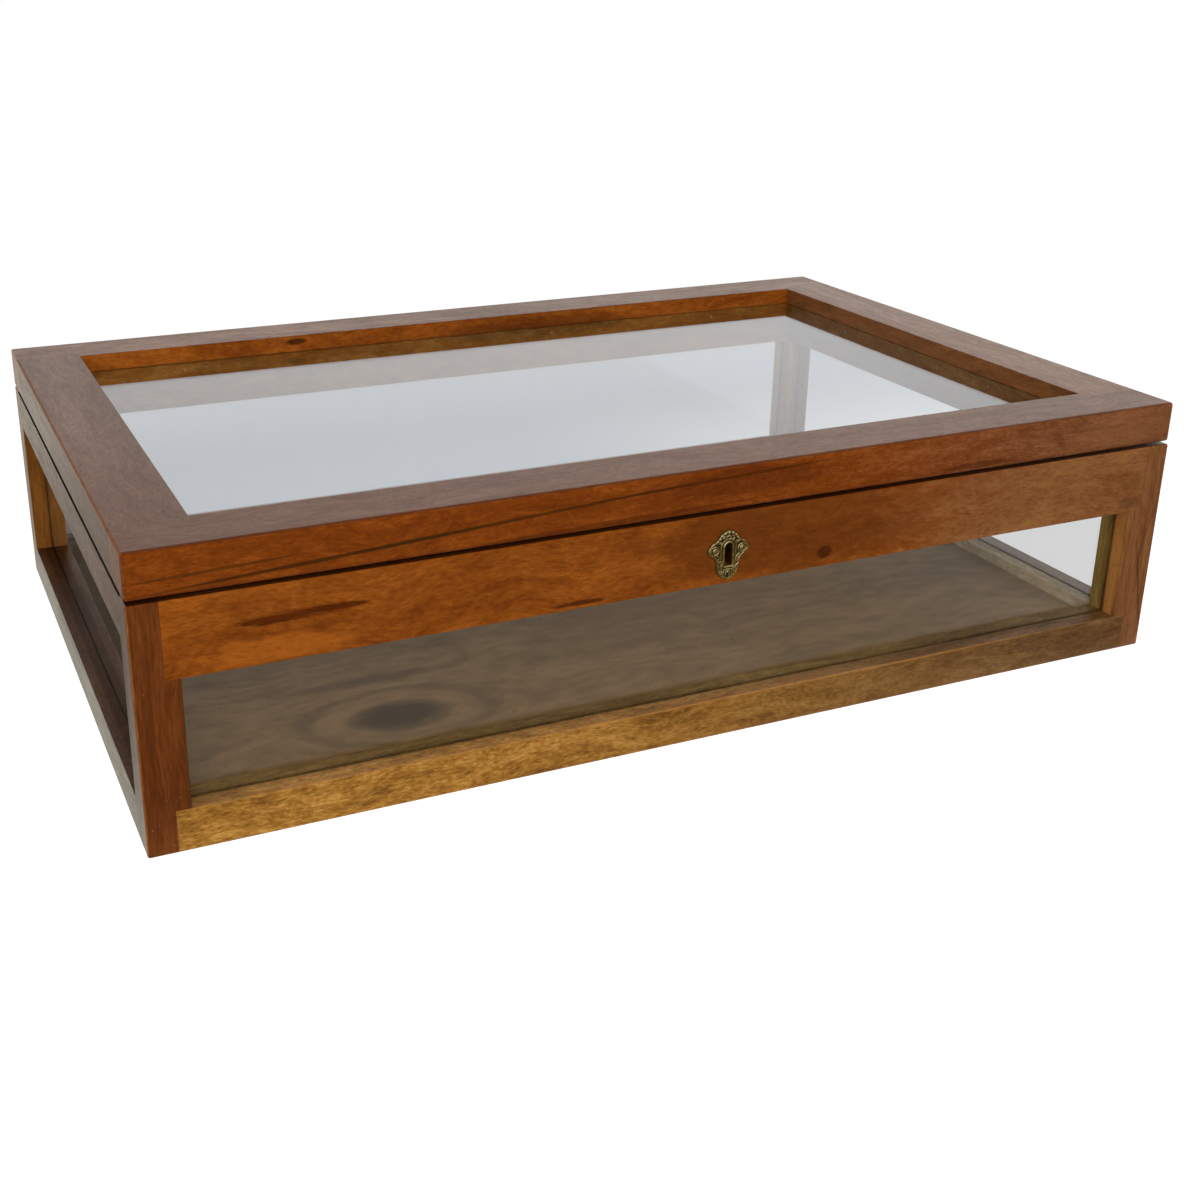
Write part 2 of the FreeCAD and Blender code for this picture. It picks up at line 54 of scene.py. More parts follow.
CAMERA_PLACE = (-0.40470, -0.85834, 0.41608)
CAMERA_TILT = -21.062          # degrees, below the horizon
CAMERA_TURN = -23.859          # degrees, from straight on towards the left side
CAMERA_ROLL = 0.315
FOCAL_PIXELS = 1553.7
PICTURE = 1200
CENTRE = (523.7, 533.0)        # pixels, where the lens points
SENSOR = 36.0

SWEEP_SIDE = 40.0
SWEEP_GREY = "c9ccce"
BACK_GREY = "cfd4da"           # the sweep as panes show it, behind the chest and at its right
RIGHT_GREY = "ecece8"
FLOOR_WHITE = (0.45, 1.0)      # metres from the middle over which the sweep turns white to the eye
RIGHT_SIDE = (0.1, 0.35)       # metres to the right over which panes show the right-hand tone
RIGHT_DEEP = (0.1, 0.45)       # metres behind the middle over which they lose it again
SKY_LEFT = (0.97, 0.98, 0.98, 1)    # what panes mirror above and behind, at the left and the right
SKY_RIGHT = (1.12, 1.12, 1.12, 1)
SATIN_LEFT = (1.45, 1.5, 1.45, 1)  # what satin wood mirrors there
SATIN_RIGHT = (2.1, 2.1, 2.0, 1)
SKY_TURN = (-0.2, 0.6)         # direction, from left to right, over which the one gives way to the other
SATIN_HIGH = (0.28, 0.42, 0.35)     # direction upwards over which satin wood's share falls, and its rest
SATIN_FLOOR = (1.33, 1.38, 1.22, 1)     # what satin wood mirrors of the sweep behind the chest
LEFT_DEEP = (-0.08, 0.6)       # metres behind the middle over which it comes up to that
NEAR_LEFT = (-0.35, -0.315, 0.3, 1.35)  # metres to the left close beside the chest, and its shares there
NEAR_DEEP = (-0.23, -0.19)     # metres behind the middle over which those begin
BESIDE_DARK = (0.022, 0.012, 0.0, 1)    # the shaded ground beside the chest at its left, through panes
BESIDE = (-0.45, -0.315)       # metres to the left between which it lies, with its soft outer edge
BESIDE_EDGES = (0.15, 0.01)
BESIDE_END = (0.25, 0.35)      # metres behind the middle over which it ends
FRONT_DARK = (0.04, 0.035, 0.03, 1)     # what gloss and panes mirror in front of the chest
ROOM_FRONT = (0.16, 0.16, 0.16, 1)      # the light of the room itself, in front and behind
ROOM_LIGHT = (0.42, 0.42, 0.42, 1)
ROOM_TURN = (-0.3, 0.2)        # direction, from front to back, over which the one gives way to the other
WHITE = (1, 1, 1, 1)
TOP_LAMP = 1.2                 # watts
FRONT_LAMP = 48.0
SEEN_LIFT = 0.85               # what the sweep adds to its own lit tone where it is seen directly
THROUGH_LIFT = 0.28            # and through glass


def linear(code):
    """An sRGB hex colour as linear red, green, blue and alpha."""
    parts = [int(code[i:i + 2], 16) / 255 for i in (0, 2, 4)]
    return [p / 12.92 if p <= 0.04045 else ((p + 0.055) / 1.055) ** 2.4 for p in parts] + [1.0]


def add(tree, kind, *values, out=0, named=None, **settings):
    """Adds a node with its settings to a tree, and gives one of its outputs. The values go to its inputs
    in order (None leaves one as it is) and the named ones by name or number; an output is linked."""
    node = tree.nodes.new(("ShaderNode" if tree.type == "SHADER" else "") + kind)
    for key, value in settings.items():
        setattr(node, key, value)
    for key, value in [*enumerate(values), *(named or {}).items()]:
        if isinstance(value, bpy.types.NodeSocket):
            tree.links.new(value, node.inputs[key])
        elif value is not None:
            node.inputs[key].default_value = value
    return node.outputs[out] if node.outputs else None


COLOUR = {"out": 2, "data_type": "RGBA"}     # for a Mix node of two colours, its inputs 6 and 7


def empty_material(name):
    material = bpy.data.materials.new(name)
    material.use_nodes = True
    material.node_tree.nodes.clear()
    return material, material.node_tree


camera_data = bpy.data.cameras.new("camera")
camera_data.sensor_width = SENSOR
camera_data.lens = FOCAL_PIXELS / PICTURE * SENSOR
camera_data.shift_x = (PICTURE / 2 - CENTRE[0]) / PICTURE
camera_data.shift_y = (CENTRE[1] - PICTURE / 2) / PICTURE
camera_data.clip_end = 2 * SWEEP_SIDE
camera = bpy.data.objects.new("camera", camera_data)
bpy.context.scene.collection.objects.link(camera)
camera.matrix_world = (Matrix.Translation(CAMERA_PLACE)
                       @ Matrix.Rotation(math.radians(CAMERA_TURN), 4, "Z")
                       @ Matrix.Rotation(math.radians(90 + CAMERA_TILT), 4, "X")
                       @ Matrix.Rotation(math.radians(CAMERA_ROLL), 4, "Z"))
bpy.context.scene.camera = camera
bpy.context.scene.view_settings.view_transform = "Standard"

world = bpy.data.worlds.new("studio")
bpy.context.scene.world = world
world.use_nodes = True
tree = world.node_tree
tree.nodes.clear()
path = add(tree, "LightPath").node.outputs
direction = add(tree, "TexCoord").node.outputs["Generated"]
across, deep, up = add(tree, "SeparateXYZ", direction).node.outputs
share = add(tree, "MapRange", across, *SKY_TURN, interpolation_type="SMOOTHSTEP")
sky = add(tree, "Mix", share, named={6: SKY_LEFT, 7: SKY_RIGHT}, **COLOUR)
satin = add(tree, "Mix", share, named={6: SATIN_LEFT, 7: SATIN_RIGHT}, **COLOUR)
high = add(tree, "MapRange", up, SATIN_HIGH[0], SATIN_HIGH[1], 1.0, SATIN_HIGH[2])
satin = add(tree, "VectorMath", satin, named={3: high}, operation="SCALE")
sky = add(tree, "Mix", path["Is Singular Ray"], named={6: satin, 7: sky}, **COLOUR)
share = add(tree, "MapRange", deep, *ROOM_TURN, interpolation_type="SMOOTHSTEP")
room = add(tree, "Mix", share, named={6: ROOM_FRONT, 7: ROOM_LIGHT}, **COLOUR)
mirrored = add(tree, "Mix", share, named={6: FRONT_DARK, 7: sky}, **COLOUR)
tone = add(tree, "Mix", path["Is Glossy Ray"], named={6: room, 7: mirrored}, **COLOUR)
tone = add(tree, "Mix", path["Is Transmission Ray"], named={6: tone, 7: linear(BACK_GREY)}, **COLOUR)
tone = add(tree, "Mix", path["Is Camera Ray"], named={6: tone, 7: WHITE}, **COLOUR)
add(tree, "OutputWorld", add(tree, "Background", tone))


def lamp(name, place, aim, width, height, watts):
    data = bpy.data.lights.new(name, "AREA")
    data.shape, data.size, data.size_y, data.energy = "RECTANGLE", width, height, watts
    made = bpy.data.objects.new(name, data)
    made.visible_glossy = False
    made.location = place
    made.rotation_euler = (Vector(aim) - Vector(place)).to_track_quat("-Z", "Y").to_euler()
    bpy.context.scene.collection.objects.link(made)


lamp("top_lamp", (-0.2, -0.1, 1.9), (0, 0, 0.1), 1.8, 1.6, TOP_LAMP)
lamp("front_lamp", (-0.5, -2.3, 1.2), (0, 0, 0.08), 1.8, 1.4, FRONT_LAMP)

half = SWEEP_SIDE / 2
corners = [(-half, -half, 0), (half, -half, 0), (half, half, 0), (-half, half, 0)]
sweep_mesh = bpy.data.meshes.new("sweep")
sweep_mesh.from_pydata(corners, [], [(0, 1, 2, 3)])
sweep = bpy.data.objects.new("sweep", sweep_mesh)
bpy.context.scene.collection.objects.link(sweep)
sweep_paper, tree = empty_material("matt_studio_paper")
path = add(tree, "LightPath").node.outputs
place = add(tree, "NewGeometry")
across, deep, _ = add(tree, "SeparateXYZ", place).node.outputs
paper = add(tree, "BsdfDiffuse", linear(SWEEP_GREY))
white = add(tree, "Emission", WHITE)
seen = add(tree, "AddShader", paper, add(tree, "Emission", WHITE, SEEN_LIFT))
away = add(tree, "VectorMath", place, out="Value", operation="LENGTH")
share = add(tree, "MapRange", away, *FLOOR_WHITE, interpolation_type="SMOOTHSTEP")
seen = add(tree, "MixShader", share, seen, white)
share = add(tree, "MapRange", across, *RIGHT_SIDE, interpolation_type="SMOOTHSTEP")
near = add(tree, "MapRange", deep, *RIGHT_DEEP, 1.0, 0.0, interpolation_type="SMOOTHSTEP")
share = add(tree, "Math", share, near, operation="MULTIPLY")
through = add(tree, "AddShader", paper, add(tree, "Emission", linear(BACK_GREY), THROUGH_LIFT))
through = add(tree, "MixShader", share, through, add(tree, "Emission", linear(RIGHT_GREY)))
inner = add(tree, "MapRange", across, BESIDE[1], BESIDE[1] + BESIDE_EDGES[1])
outer = add(tree, "MapRange", across, BESIDE[0], BESIDE[0] - BESIDE_EDGES[0])
behind = add(tree, "MapRange", deep, *BESIDE_END)
share = add(tree, "Math", add(tree, "Math", inner, outer, operation="MAXIMUM"), behind, operation="MAXIMUM")
through = add(tree, "MixShader", share, add(tree, "Emission", BESIDE_DARK), through)
share = add(tree, "MapRange", deep, *LEFT_DEEP)
near = add(tree, "MapRange", across, *NEAR_LEFT)
beside = add(tree, "MapRange", deep, *NEAR_DEEP)
near = add(tree, "Math", near, beside, operation="MULTIPLY")
share = add(tree, "Math", share, near, operation="MAXIMUM")
mirrored = add(tree, "Mix", share, named={6: FRONT_DARK, 7: SATIN_FLOOR}, **COLOUR)
mirrored = add(tree, "Mix", path["Is Singular Ray"], named={6: mirrored, 7: FRONT_DARK}, **COLOUR)
mirrored = add(tree, "Emission", mirrored)
shader = add(tree, "MixShader", path["Is Glossy Ray"], paper, mirrored)
shader = add(tree, "MixShader", path["Is Transmission Ray"], shader, through)
shader = add(tree, "MixShader", path["Is Camera Ray"], shader, seen)
add(tree, "OutputMaterial", shader)
sweep_mesh.materials.append(sweep_paper)


# ---------------------------------------------------------------------------
# Posts and rails of the case: planed and sanded hardwood, stained reddish brown and oiled to a satin
# sheen. Each board has its own figure: soft bands, a mottle that changes with the light, short dark
# pores, and a knot or a dark streak here and there. Behind the panes the wood is only sealed.

LAYERS = (((90.0, 24.0), 0.26), ((200.0, 5.0), 0.17), ((15.0, 5.0), 0.25), ((4.5, 1.5), 0.32))
#          mm along and across the grain, and weight: patches, bands, mottle and fibre
SWAY = 7.0             # mm that the grain wanders over a hand's breadth
POST_SWAY = 2.0        # and in the straight-grained posts
SWAY_SCALE = 14.0      # turns of it in a metre
PORE = (4.5, 0.6)      # mm; real pores are about 0.3 mm wide, drawn coarser so that they show
FLECK = (2.0, 1.2)     # mm, the few pale specks of filler
WEAR_AND_HIGHLIGHT_EDGE = (1.15, 1.85)    # mm from an edge over which its wear line, partly a painted highlight, fades
EDGE_LINE_WANDER = 1.7            # mm that the line wanders
EDGE_LINE_BREAKS = 11.0     # mm between its breaks
# light tone of the edge line: partly wear, partly a painted highlight
WEAR_AND_HIGHLIGHT = "bd763c"
WEAR_AND_HIGHLIGHT_STRENGTH = 0.55
SEAM = 0.35            # mm, half the width of a joint line
CASE_RAIL_JOINT = 15.0     # mm from the corner of the case to the rails' joint lines
PANE_MIDDLE = 12.0         # mm from the outside of the case to the middle of a pane
PANE_HALF = 1.5
PANE_SHADE_REACH = 7.0           # mm from a pane's middle to where its painted shade has faded
PANE_SHADE_LINES = ((2 * PANE_HALF, 0.6), (PANE_SHADE_REACH, 0.13))     # reach in mm and strength of each line of painted shade
SEALED_GLOSS = 0.2
GAP_SHADE_EDGE = (0.02, 0.15)     # mm past the closing gap over which its painted shade ends
LINE_DARK = "1d0e06"
FILLER = "c9986a"
TONE_DARK = (0.36, 0.5)         # depth of figure over which the dark tone gives way to the middle one,
TONE_LIGHT = (0.5, 0.64)        # and the middle one to the light one
GLOSS_TINT = "e0965a"      # oil warms what the wood mirrors straight on


def grain_layer(tree, coords, size, seed, detail=2.0):
    """A layer of figure whose patches are size[0] mm along the board and size[1] mm across it."""
    scale = [1 / (s * MM) for s in (size[0], size[1], size[1])]
    fitted = add(tree, "Mapping", coords, (seed, 2 * seed, 3 * seed), None, scale)
    return add(tree, "TexNoise", fitted, named={"Scale": 1.0, "Detail": detail, "Roughness": 0.55})


def around(tree, coords, middle, size, tilt=0.0):
    """Distance from a place on the board, in shares of a size in mm that is tilted across the grain."""
    middle = [v * MM for v in middle]
    turned = add(tree, "VectorRotate", coords, middle, (0, 1, 0), math.radians(tilt))
    off = add(tree, "VectorMath", turned, middle, operation="SUBTRACT")
    shares = add(tree, "VectorMath", off, [v * MM for v in size], operation="DIVIDE")
    return off, add(tree, "VectorMath", shares, out="Value", operation="LENGTH")


def edge_gap(tree, here, low, high):
    """Distance in metres from a place on a box's surface to the box's nearest edge."""
    off = add(tree, "VectorMath", here, (low + high) / 2, operation="SUBTRACT")
    size = add(tree, "VectorMath", off, operation="ABSOLUTE")
    gaps = add(tree, "VectorMath", (high - low) / 2, size, operation="SUBTRACT")
    gaps = add(tree, "SeparateXYZ", gaps).node.outputs
    nearest = [add(tree, "Math", gaps[i], gaps[j], operation="MAXIMUM") for i, j in ((0, 1), (1, 2), (2, 0))]
    nearest[0] = add(tree, "Math", nearest[0], nearest[1], operation="MINIMUM")
    return add(tree, "Math", nearest[0], nearest[2], operation="MINIMUM")


def oiled_hardwood(node, grain, tones, seed, far=None, whole=None, joint=None, sealed=None, top_shade=None,
                   knots=(), marks=(), rings=(), coarse=(1.0, 1.0), lively=1.25, roughness=0.42, gloss=0.5):
    """Dresses one board in stained, oiled hardwood. grain is the axis it runs along; tones are its dark,
    middle and light colours; far is (from, to, tones), the colours that it changes to between two places
    along it; whole is the box whose outer edges get a wear line, partly a painted highlight, and whose
    faces at the closing gap get painted shade; joint is the distance of its joint lines from its middle;
    sealed are its colours behind the panes, with painted shade along each pane, and top_shade the colours
    painted on its top as shade. Knots and marks are (middle, size, colour, strength) with a tilt in
    degrees if there is one, and rings (middle, size, count, strength), in mm from the board's middle.
    coarse scales the figure along and across, lively its contrast."""
    material, tree = empty_material(node + "_oiled_hardwood")
    low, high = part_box(node)
    here = add(tree, "TexCoord", out="Object")
    turn = {"X": (0, 0, 0), "Y": (0, 0, -math.pi / 2), "Z": (0, math.pi / 2, 0)}[grain]
    centred = add(tree, "VectorMath", here, (low + high) / 2, operation="SUBTRACT")
    board = add(tree, "Mapping", centred, None, turn)
    along, _, _ = add(tree, "SeparateXYZ", board).node.outputs

    sway = add(tree, "TexNoise", board, seed, SWAY_SCALE, 1.0, out="Color", noise_dimensions="4D")
    sway = add(tree, "VectorMath", sway, (0.5, 0.5, 0.5), operation="SUBTRACT")
    reach = 4 * MM * (POST_SWAY if grain == "Z" else SWAY)
    sway = add(tree, "VectorMath", sway, (0, reach, reach), board, operation="MULTIPLY_ADD")
    for middle, size, *_ in knots:        # the grain flows round a knot
        off, gap = around(tree, board, middle, [3.2 * s for s in size])
        near = add(tree, "MapRange", gap, 0.0, 1.0, -0.75, 0.0, interpolation_type="SMOOTHSTEP")
        push = add(tree, "VectorMath", off, named={3: near}, operation="SCALE")
        sway = add(tree, "VectorMath", sway, push, operation="ADD")

    depth = 0.5 - lively * sum(weight for _, weight in LAYERS) / 2
    for number, (size, weight) in enumerate(LAYERS):
        layer = grain_layer(tree, sway, (size[0] * coarse[0], size[1] * coarse[1]), seed + 2.3 * number)
        depth = add(tree, "Math", layer, lively * weight, depth, operation="MULTIPLY_ADD")
        fibre = layer
    ramps = []
    for three in (tones, far and far[2], top_shade, sealed):
        if three:
            share = add(tree, "MapRange", depth, *TONE_DARK)
            deep = add(tree, "Mix", share, named={6: linear(three[0]), 7: linear(three[1])}, **COLOUR)
            share = add(tree, "MapRange", depth, *TONE_LIGHT)
            ramps.append(add(tree, "Mix", share, named={6: deep, 7: linear(three[2])}, **COLOUR))
    tint = ramps.pop(0)
    if far:
        wander = add(tree, "Math", depth, 0.35, along, operation="MULTIPLY_ADD")
        share = add(tree, "MapRange", wander, far[0] * MM + 0.175, far[1] * MM + 0.175,
                    interpolation_type="SMOOTHSTEP")
        tint = add(tree, "Mix", share, named={6: tint, 7: ramps.pop(0)}, **COLOUR)
    # painted shade: faces turned upwards take the darker top_shade tones
    if top_shade:
        facing = add(tree, "SeparateXYZ", add(tree, "NewGeometry", out="Normal"), out="Z")
        share = add(tree, "MapRange", facing, 0.6, 0.9)
        tint = add(tree, "Mix", share, named={6: tint, 7: ramps.pop(0)}, **COLOUR)
    for middle, size, count, strength in rings:
        _, gap = around(tree, board, middle, size)
        ragged = grain_layer(tree, board, (size[0] * 0.4, size[2] * 0.5), seed, 3.0)
        wave = add(tree, "Math", ragged, 0.25, gap, operation="MULTIPLY_ADD")
        wave = add(tree, "Math", wave, 2 * math.pi * count, operation="MULTIPLY")
        wave = add(tree, "Math", wave, operation="SINE")
        lines = add(tree, "MapRange", wave, 0.0, 1.0, 0.0, strength, interpolation_type="SMOOTHSTEP")
        inside = add(tree, "MapRange", gap, 0.6, 1.0, 1.0, 0.0, interpolation_type="SMOOTHSTEP")
        share = add(tree, "Math", lines, inside, operation="MULTIPLY")
        tint = add(tree, "Mix", share, named={6: tint, 7: linear(tones[0])}, **COLOUR)
    clean = 1.0
    for number, (middle, size, colour, strength, *tilt) in enumerate([*knots, *marks]):
        _, gap = around(tree, board, middle, size, *tilt)
        wild = 0.4 if number < len(knots) else 0.9
        ragged = grain_layer(tree, board, (size[0] * 0.35, size[2] * 0.6), seed + number, 3.0)
        gap = add(tree, "Math", ragged, wild, gap, operation="MULTIPLY_ADD")
        share = add(tree, "MapRange", gap, 0.6 + wild / 2, 1.15 + wild / 2, strength, 0.0,
                    interpolation_type="SMOOTHSTEP")
        tint = add(tree, "Mix", share, named={6: tint, 7: linear(colour)}, **COLOUR)
        clean = add(tree, "Math", share, -1.0, clean, operation="MULTIPLY_ADD", use_clamp=True)
    shine = gloss
    if sealed:
        out = add(tree, "VectorMath", here, operation="ABSOLUTE")
        gaps = add(tree, "VectorMath", case_reach - Vector([PANE_MIDDLE * MM] * 3), out, operation="SUBTRACT")
        gaps = add(tree, "SeparateXYZ", gaps).node.outputs
        behind = add(tree, "Math", gaps[0], gaps[1], operation="MINIMUM")
        share = add(tree, "MapRange", behind, -PANE_HALF * MM, 0.0)
        tint = add(tree, "Mix", share, named={6: tint, 7: ramps.pop(0)}, **COLOUR)
        shine = add(tree, "MapRange", behind, -PANE_HALF * MM, 0.0, gloss, SEALED_GLOSS)
        gap = add(tree, "Math", behind, operation="ABSOLUTE")
        # painted shade: dark lines where the wood meets each pane
        for reach, strength in PANE_SHADE_LINES:
            share = add(tree, "MapRange", gap, PANE_HALF * MM, reach * MM, strength, 0.0)
            tint = add(tree, "Mix", share, named={6: tint, 7: linear(LINE_DARK)}, **COLOUR)
    if joint:
        gap = add(tree, "Math", along, operation="ABSOLUTE")
        gap = add(tree, "Math", gap, joint * MM, operation="SUBTRACT")
        gap = add(tree, "Math", gap, operation="ABSOLUTE")
        share = add(tree, "MapRange", gap, 0.0, SEAM * MM, 0.7, 0.0)
        tint = add(tree, "Mix", share, named={6: tint, 7: linear(LINE_DARK)}, **COLOUR)

    pores = grain_layer(tree, board, PORE, seed + 5.0, 1.0)
    dashes = add(tree, "MapRange", pores, 0.40, 0.28, 0.0, 0.6, interpolation_type="SMOOTHSTEP")
    tint = add(tree, "Mix", dashes, named={6: tint, 7: linear(tones[0])}, **COLOUR)
    specks = add(tree, "MapRange", grain_layer(tree, board, FLECK, seed + 8.0, 0.0), 0.86, 0.9, 0.0, 0.4)
    tint = add(tree, "Mix", specks, named={6: tint, 7: linear(FILLER)}, **COLOUR)
    if whole:
        # a lighter, less glossy line along the outer edges: partly wear, partly a painted highlight
        edge_line_wobble = grain_layer(tree, here, (EDGE_LINE_BREAKS, EDGE_LINE_BREAKS), seed + 3.0)
        gap = add(tree, "Math", edge_line_wobble, EDGE_LINE_WANDER * MM, edge_gap(tree, here, *whole), operation="MULTIPLY_ADD")
        wear_and_highlight = add(tree, "MapRange", gap, WEAR_AND_HIGHLIGHT_EDGE[0] * MM, WEAR_AND_HIGHLIGHT_EDGE[1] * MM, WEAR_AND_HIGHLIGHT_STRENGTH, 0.0)
        wear_and_highlight = add(tree, "Math", wear_and_highlight, clean, operation="MULTIPLY")
        tint = add(tree, "Mix", wear_and_highlight, named={6: tint, 7: linear(WEAR_AND_HIGHLIGHT)}, **COLOUR)
        shine = add(tree, "Math", wear_and_highlight, -gloss, shine, operation="MULTIPLY_ADD")
        # painted shade on the faces at the closing gap between lid and case
        gap = add(tree, "Math", add(tree, "SeparateXYZ", here, out="Z"), gap_shade_level, operation="SUBTRACT")
        gap = add(tree, "Math", gap, operation="ABSOLUTE")
        ends = [gap_shade_half + edge * MM for edge in GAP_SHADE_EDGE]
        share = add(tree, "MapRange", gap, *ends, 0.8, 0.0)
        tint = add(tree, "Mix", share, named={6: tint, 7: linear(LINE_DARK)}, **COLOUR)

    bump = add(tree, "Bump", 0.3, named={"Distance": 0.15 * MM, "Height": fibre})
    rough = add(tree, "MapRange", depth, 0.35, 0.65, roughness + 0.05, roughness - 0.05)
    rough = add(tree, "Math", dashes, 0.25, rough, operation="MULTIPLY_ADD")
    if knots or marks:
        shine = add(tree, "Math", shine, clean, operation="MULTIPLY")
    shader = add(tree, "BsdfPrincipled", tint, None, rough, named={
        "IOR": 1.45, "Normal": bump, "Specular IOR Level": shine, "Specular Tint": linear(GLOSS_TINT)})
    add(tree, "OutputMaterial", shader)
    dress(node, material)


def dress(node, material):
    nodes[node].data.materials.clear()
    nodes[node].data.materials.append(material)


case_low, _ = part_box("front_left_post")
_, case_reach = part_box("back_right_post")
lid_low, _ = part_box("lid_front_rail")
_, lid_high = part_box("lid_back_rail")
gap_shade_level = (case_reach.z + lid_low.z) / 2     # painted shade darkens the faces that close here
gap_shade_half = (lid_low.z - case_reach.z) / 2
case_whole = (case_low, Vector((case_reach.x, case_reach.y, lid_high.z)))     # its top edges get no wear line
lid_whole = (lid_low, lid_high)
JOINT_X = case_reach.x / MM - CASE_RAIL_JOINT
JOINT_Y = case_reach.y / MM - CASE_RAIL_JOINT

# dark, middle and light tone of each kind of board
RUSSET = ("6f340a", "8a4812", "a3591b")
TAN = ("71421f", "885630", "9a6839")
TAWNY = ("693c1f", "7e4f2b", "92613a")
AMBER = ("6a3c14", "84501e", "9c642a")
PEAT = ("38200b", "4e2c11", "643e1e")
RUST = ("4d260d", "603011", "743d19")
UMBER = ("53361c", "684426", "7f5532")
GOLD = ("6d461b", "a2702d", "cc974b")
FUDGE = ("4f351a", "6d4c28", "876339")
HAZEL = ("624226", "7c5a38", "94744e")
MOSS = ("42300f", "5e471e", "7c6230")
SAND = ("8a7454", "a68e66", "bea680")
OLIVE = ("584520", "7e6530", "9e8344")

oiled_hardwood("front_top_rail", "X", RUSSET, 1.3, far=(90.0, 200.0, TAN), whole=case_whole, joint=JOINT_X,
               knots=[((67, -11, -12), (5.5, 12, 4.0), "35160a", 0.95)],
               marks=[((-242, -11, 2.0), (18, 12, 2.4), "2c1005", 0.8),
                      ((-213, -11, 3.5), (19, 12, 2.0), "2c1005", 0.85),
                      ((-227, -11, 2.8), (34, 12, 3.2), "5a280c", 0.6),
                      ((-82, -11, -17), (17, 12, 1.5), "3c1a0a", 0.8),
                      ((44, -11, 4), (96, 14, 28), "4f260c", 0.62),
                      ((-238, -11, -13), (42, 14, 7), "b4641f", 0.5),
                      # painted shade: the wood seen through the keyhole, darkened
                      ((5, 0, -3.6), (7, 14, 10), "1c120a", 0.95),
                      ((160, -11, 2), (60, 14, 26), "7a4725", 0.35),
                      ((285, -11, -14), (9, 12, 3.5), "5a3c26", 0.35)],
               rings=[((-262, -11, -34), (34, 30, 44), 5.0, 0.35)], sealed=HAZEL, lively=1.1)
oiled_hardwood("front_bottom_rail", "X", GOLD, 7.9, far=(-120.0, 230.0, FUDGE), whole=case_whole,
               joint=JOINT_X, sealed=MOSS, coarse=(0.8, 0.8), lively=1.3,
               marks=[((285, -4, -4), (60, 24, 14), "4e2c14", 0.35),
                      # painted highlight: a light line along the top front edge
                      ((-30, -11.5, 11.5), (340, 1.2, 1.2), "bd8448", 0.55)])
oiled_hardwood("front_right_post", "Z", TAWNY, 33.4, whole=case_whole, sealed=OLIVE, coarse=(2.5, 0.8),
               marks=[((-22, -11, -4), (34, 14, 1.0), "4a2c18", 0.6, 12.0),
                      # painted light: a bright band down the jamb face of the post beside the front pane
                      ((-5, -5, 11.5), (75, 6, 2.2), "c48242", 0.85)])
oiled_hardwood("left_top_rail", "Y", RUST, 38.8, whole=case_whole, joint=JOINT_Y, sealed=HAZEL,
               # painted shade: a dark line along the top outer edge, under the closing gap
               marks=[((0, 11.5, 11.5), (520, 3, 1.2), "2e2010", 1.0)])
oiled_hardwood("left_bottom_rail", "Y", PEAT, 17.9, whole=case_whole, joint=JOINT_Y, sealed=PEAT,
               marks=[((0, -3, 11.5), (640, 12, 4), "3c220c", 0.75)])
for number, (node, grain, tones, sealed, joint) in enumerate((
        ("back_top_rail", "X", RUST, HAZEL, JOINT_X), ("back_bottom_rail", "X", UMBER, HAZEL, JOINT_X),
        ("right_top_rail", "Y", RUST, HAZEL, JOINT_Y), ("right_bottom_rail", "Y", UMBER, SAND, JOINT_Y),
        ("front_left_post", "Z", RUST, MOSS, None),
        ("back_left_post", "Z", AMBER, HAZEL, None), ("back_right_post", "Z", UMBER, HAZEL, None))):
    oiled_hardwood(node, grain, tones, 11.7 + 3.1 * number, whole=case_whole, joint=joint, sealed=sealed,
                   coarse=(2.5, 0.8) if grain == "Z" else (1.0, 1.0))


# ---------------------------------------------------------------------------
# Floor panel: one wide board of the same wood, browner and unstained, held loose in grooves. Its broad
# bands flow round a knot near the front left corner.

BARE = ("4f3a1d", "765a32", "967447")

oiled_hardwood("floor_panel", "X", BARE, 4.4, coarse=(4.0, 4.5), lively=0.65, roughness=0.5, gloss=0.45,
               knots=[((-160, -135, 3), (27, 16, 12), "2c2014", 0.75)],
               marks=[((-165, -88, 3), (60, 6, 9), "34241a", 0.35),
                      ((60, -60, 3), (120, 14, 9), "7a5a34", 0.4)],
               rings=[((-160, -135, 3), (85, 50, 30), 3.0, 0.45)])


# ---------------------------------------------------------------------------
# Panes: 3 mm float glass, four held in grooves in the case and one on a rebate in the lid. Float glass
# is flat and smooth, so it mirrors sharply and hardly tints what is behind it.

GLASS_TINT = "f9fafc"
SHADOW_TINT = "e6e8ea"

float_glass, tree = empty_material("float_glass")
pane = add(tree, "BsdfPrincipled", linear(GLASS_TINT),
           named={"Roughness": 0.0, "IOR": 1.52, "Transmission Weight": 1.0})
clear = add(tree, "BsdfTransparent", linear(SHADOW_TINT))
shadow = add(tree, "LightPath", out="Is Shadow Ray")
add(tree, "OutputMaterial", add(tree, "MixShader", shadow, pane, clear))
for node in ("front_pane", "back_pane", "left_pane", "right_pane", "lid_glass"):
    dress(node, float_glass)


# ---------------------------------------------------------------------------
# Lid frame: two rails that run the full width with two stiles let into them, sanded flush, with every
# outer edge eased by hand.

LID_JOINT = 32.0           # mm from the lid's front and back to the stiles' joint lines
STILE_JOINT = lid_high.y / MM - LID_JOINT

MAHOGANY = ("622b08", "7a390b", "954c14")
SADDLE = ("5e3419", "78472a", "925d39")
CHESTNUT = ("5a3018", "74421f", "8a552c")
FAWN = ("6a3c20", "865229", "9c6436")

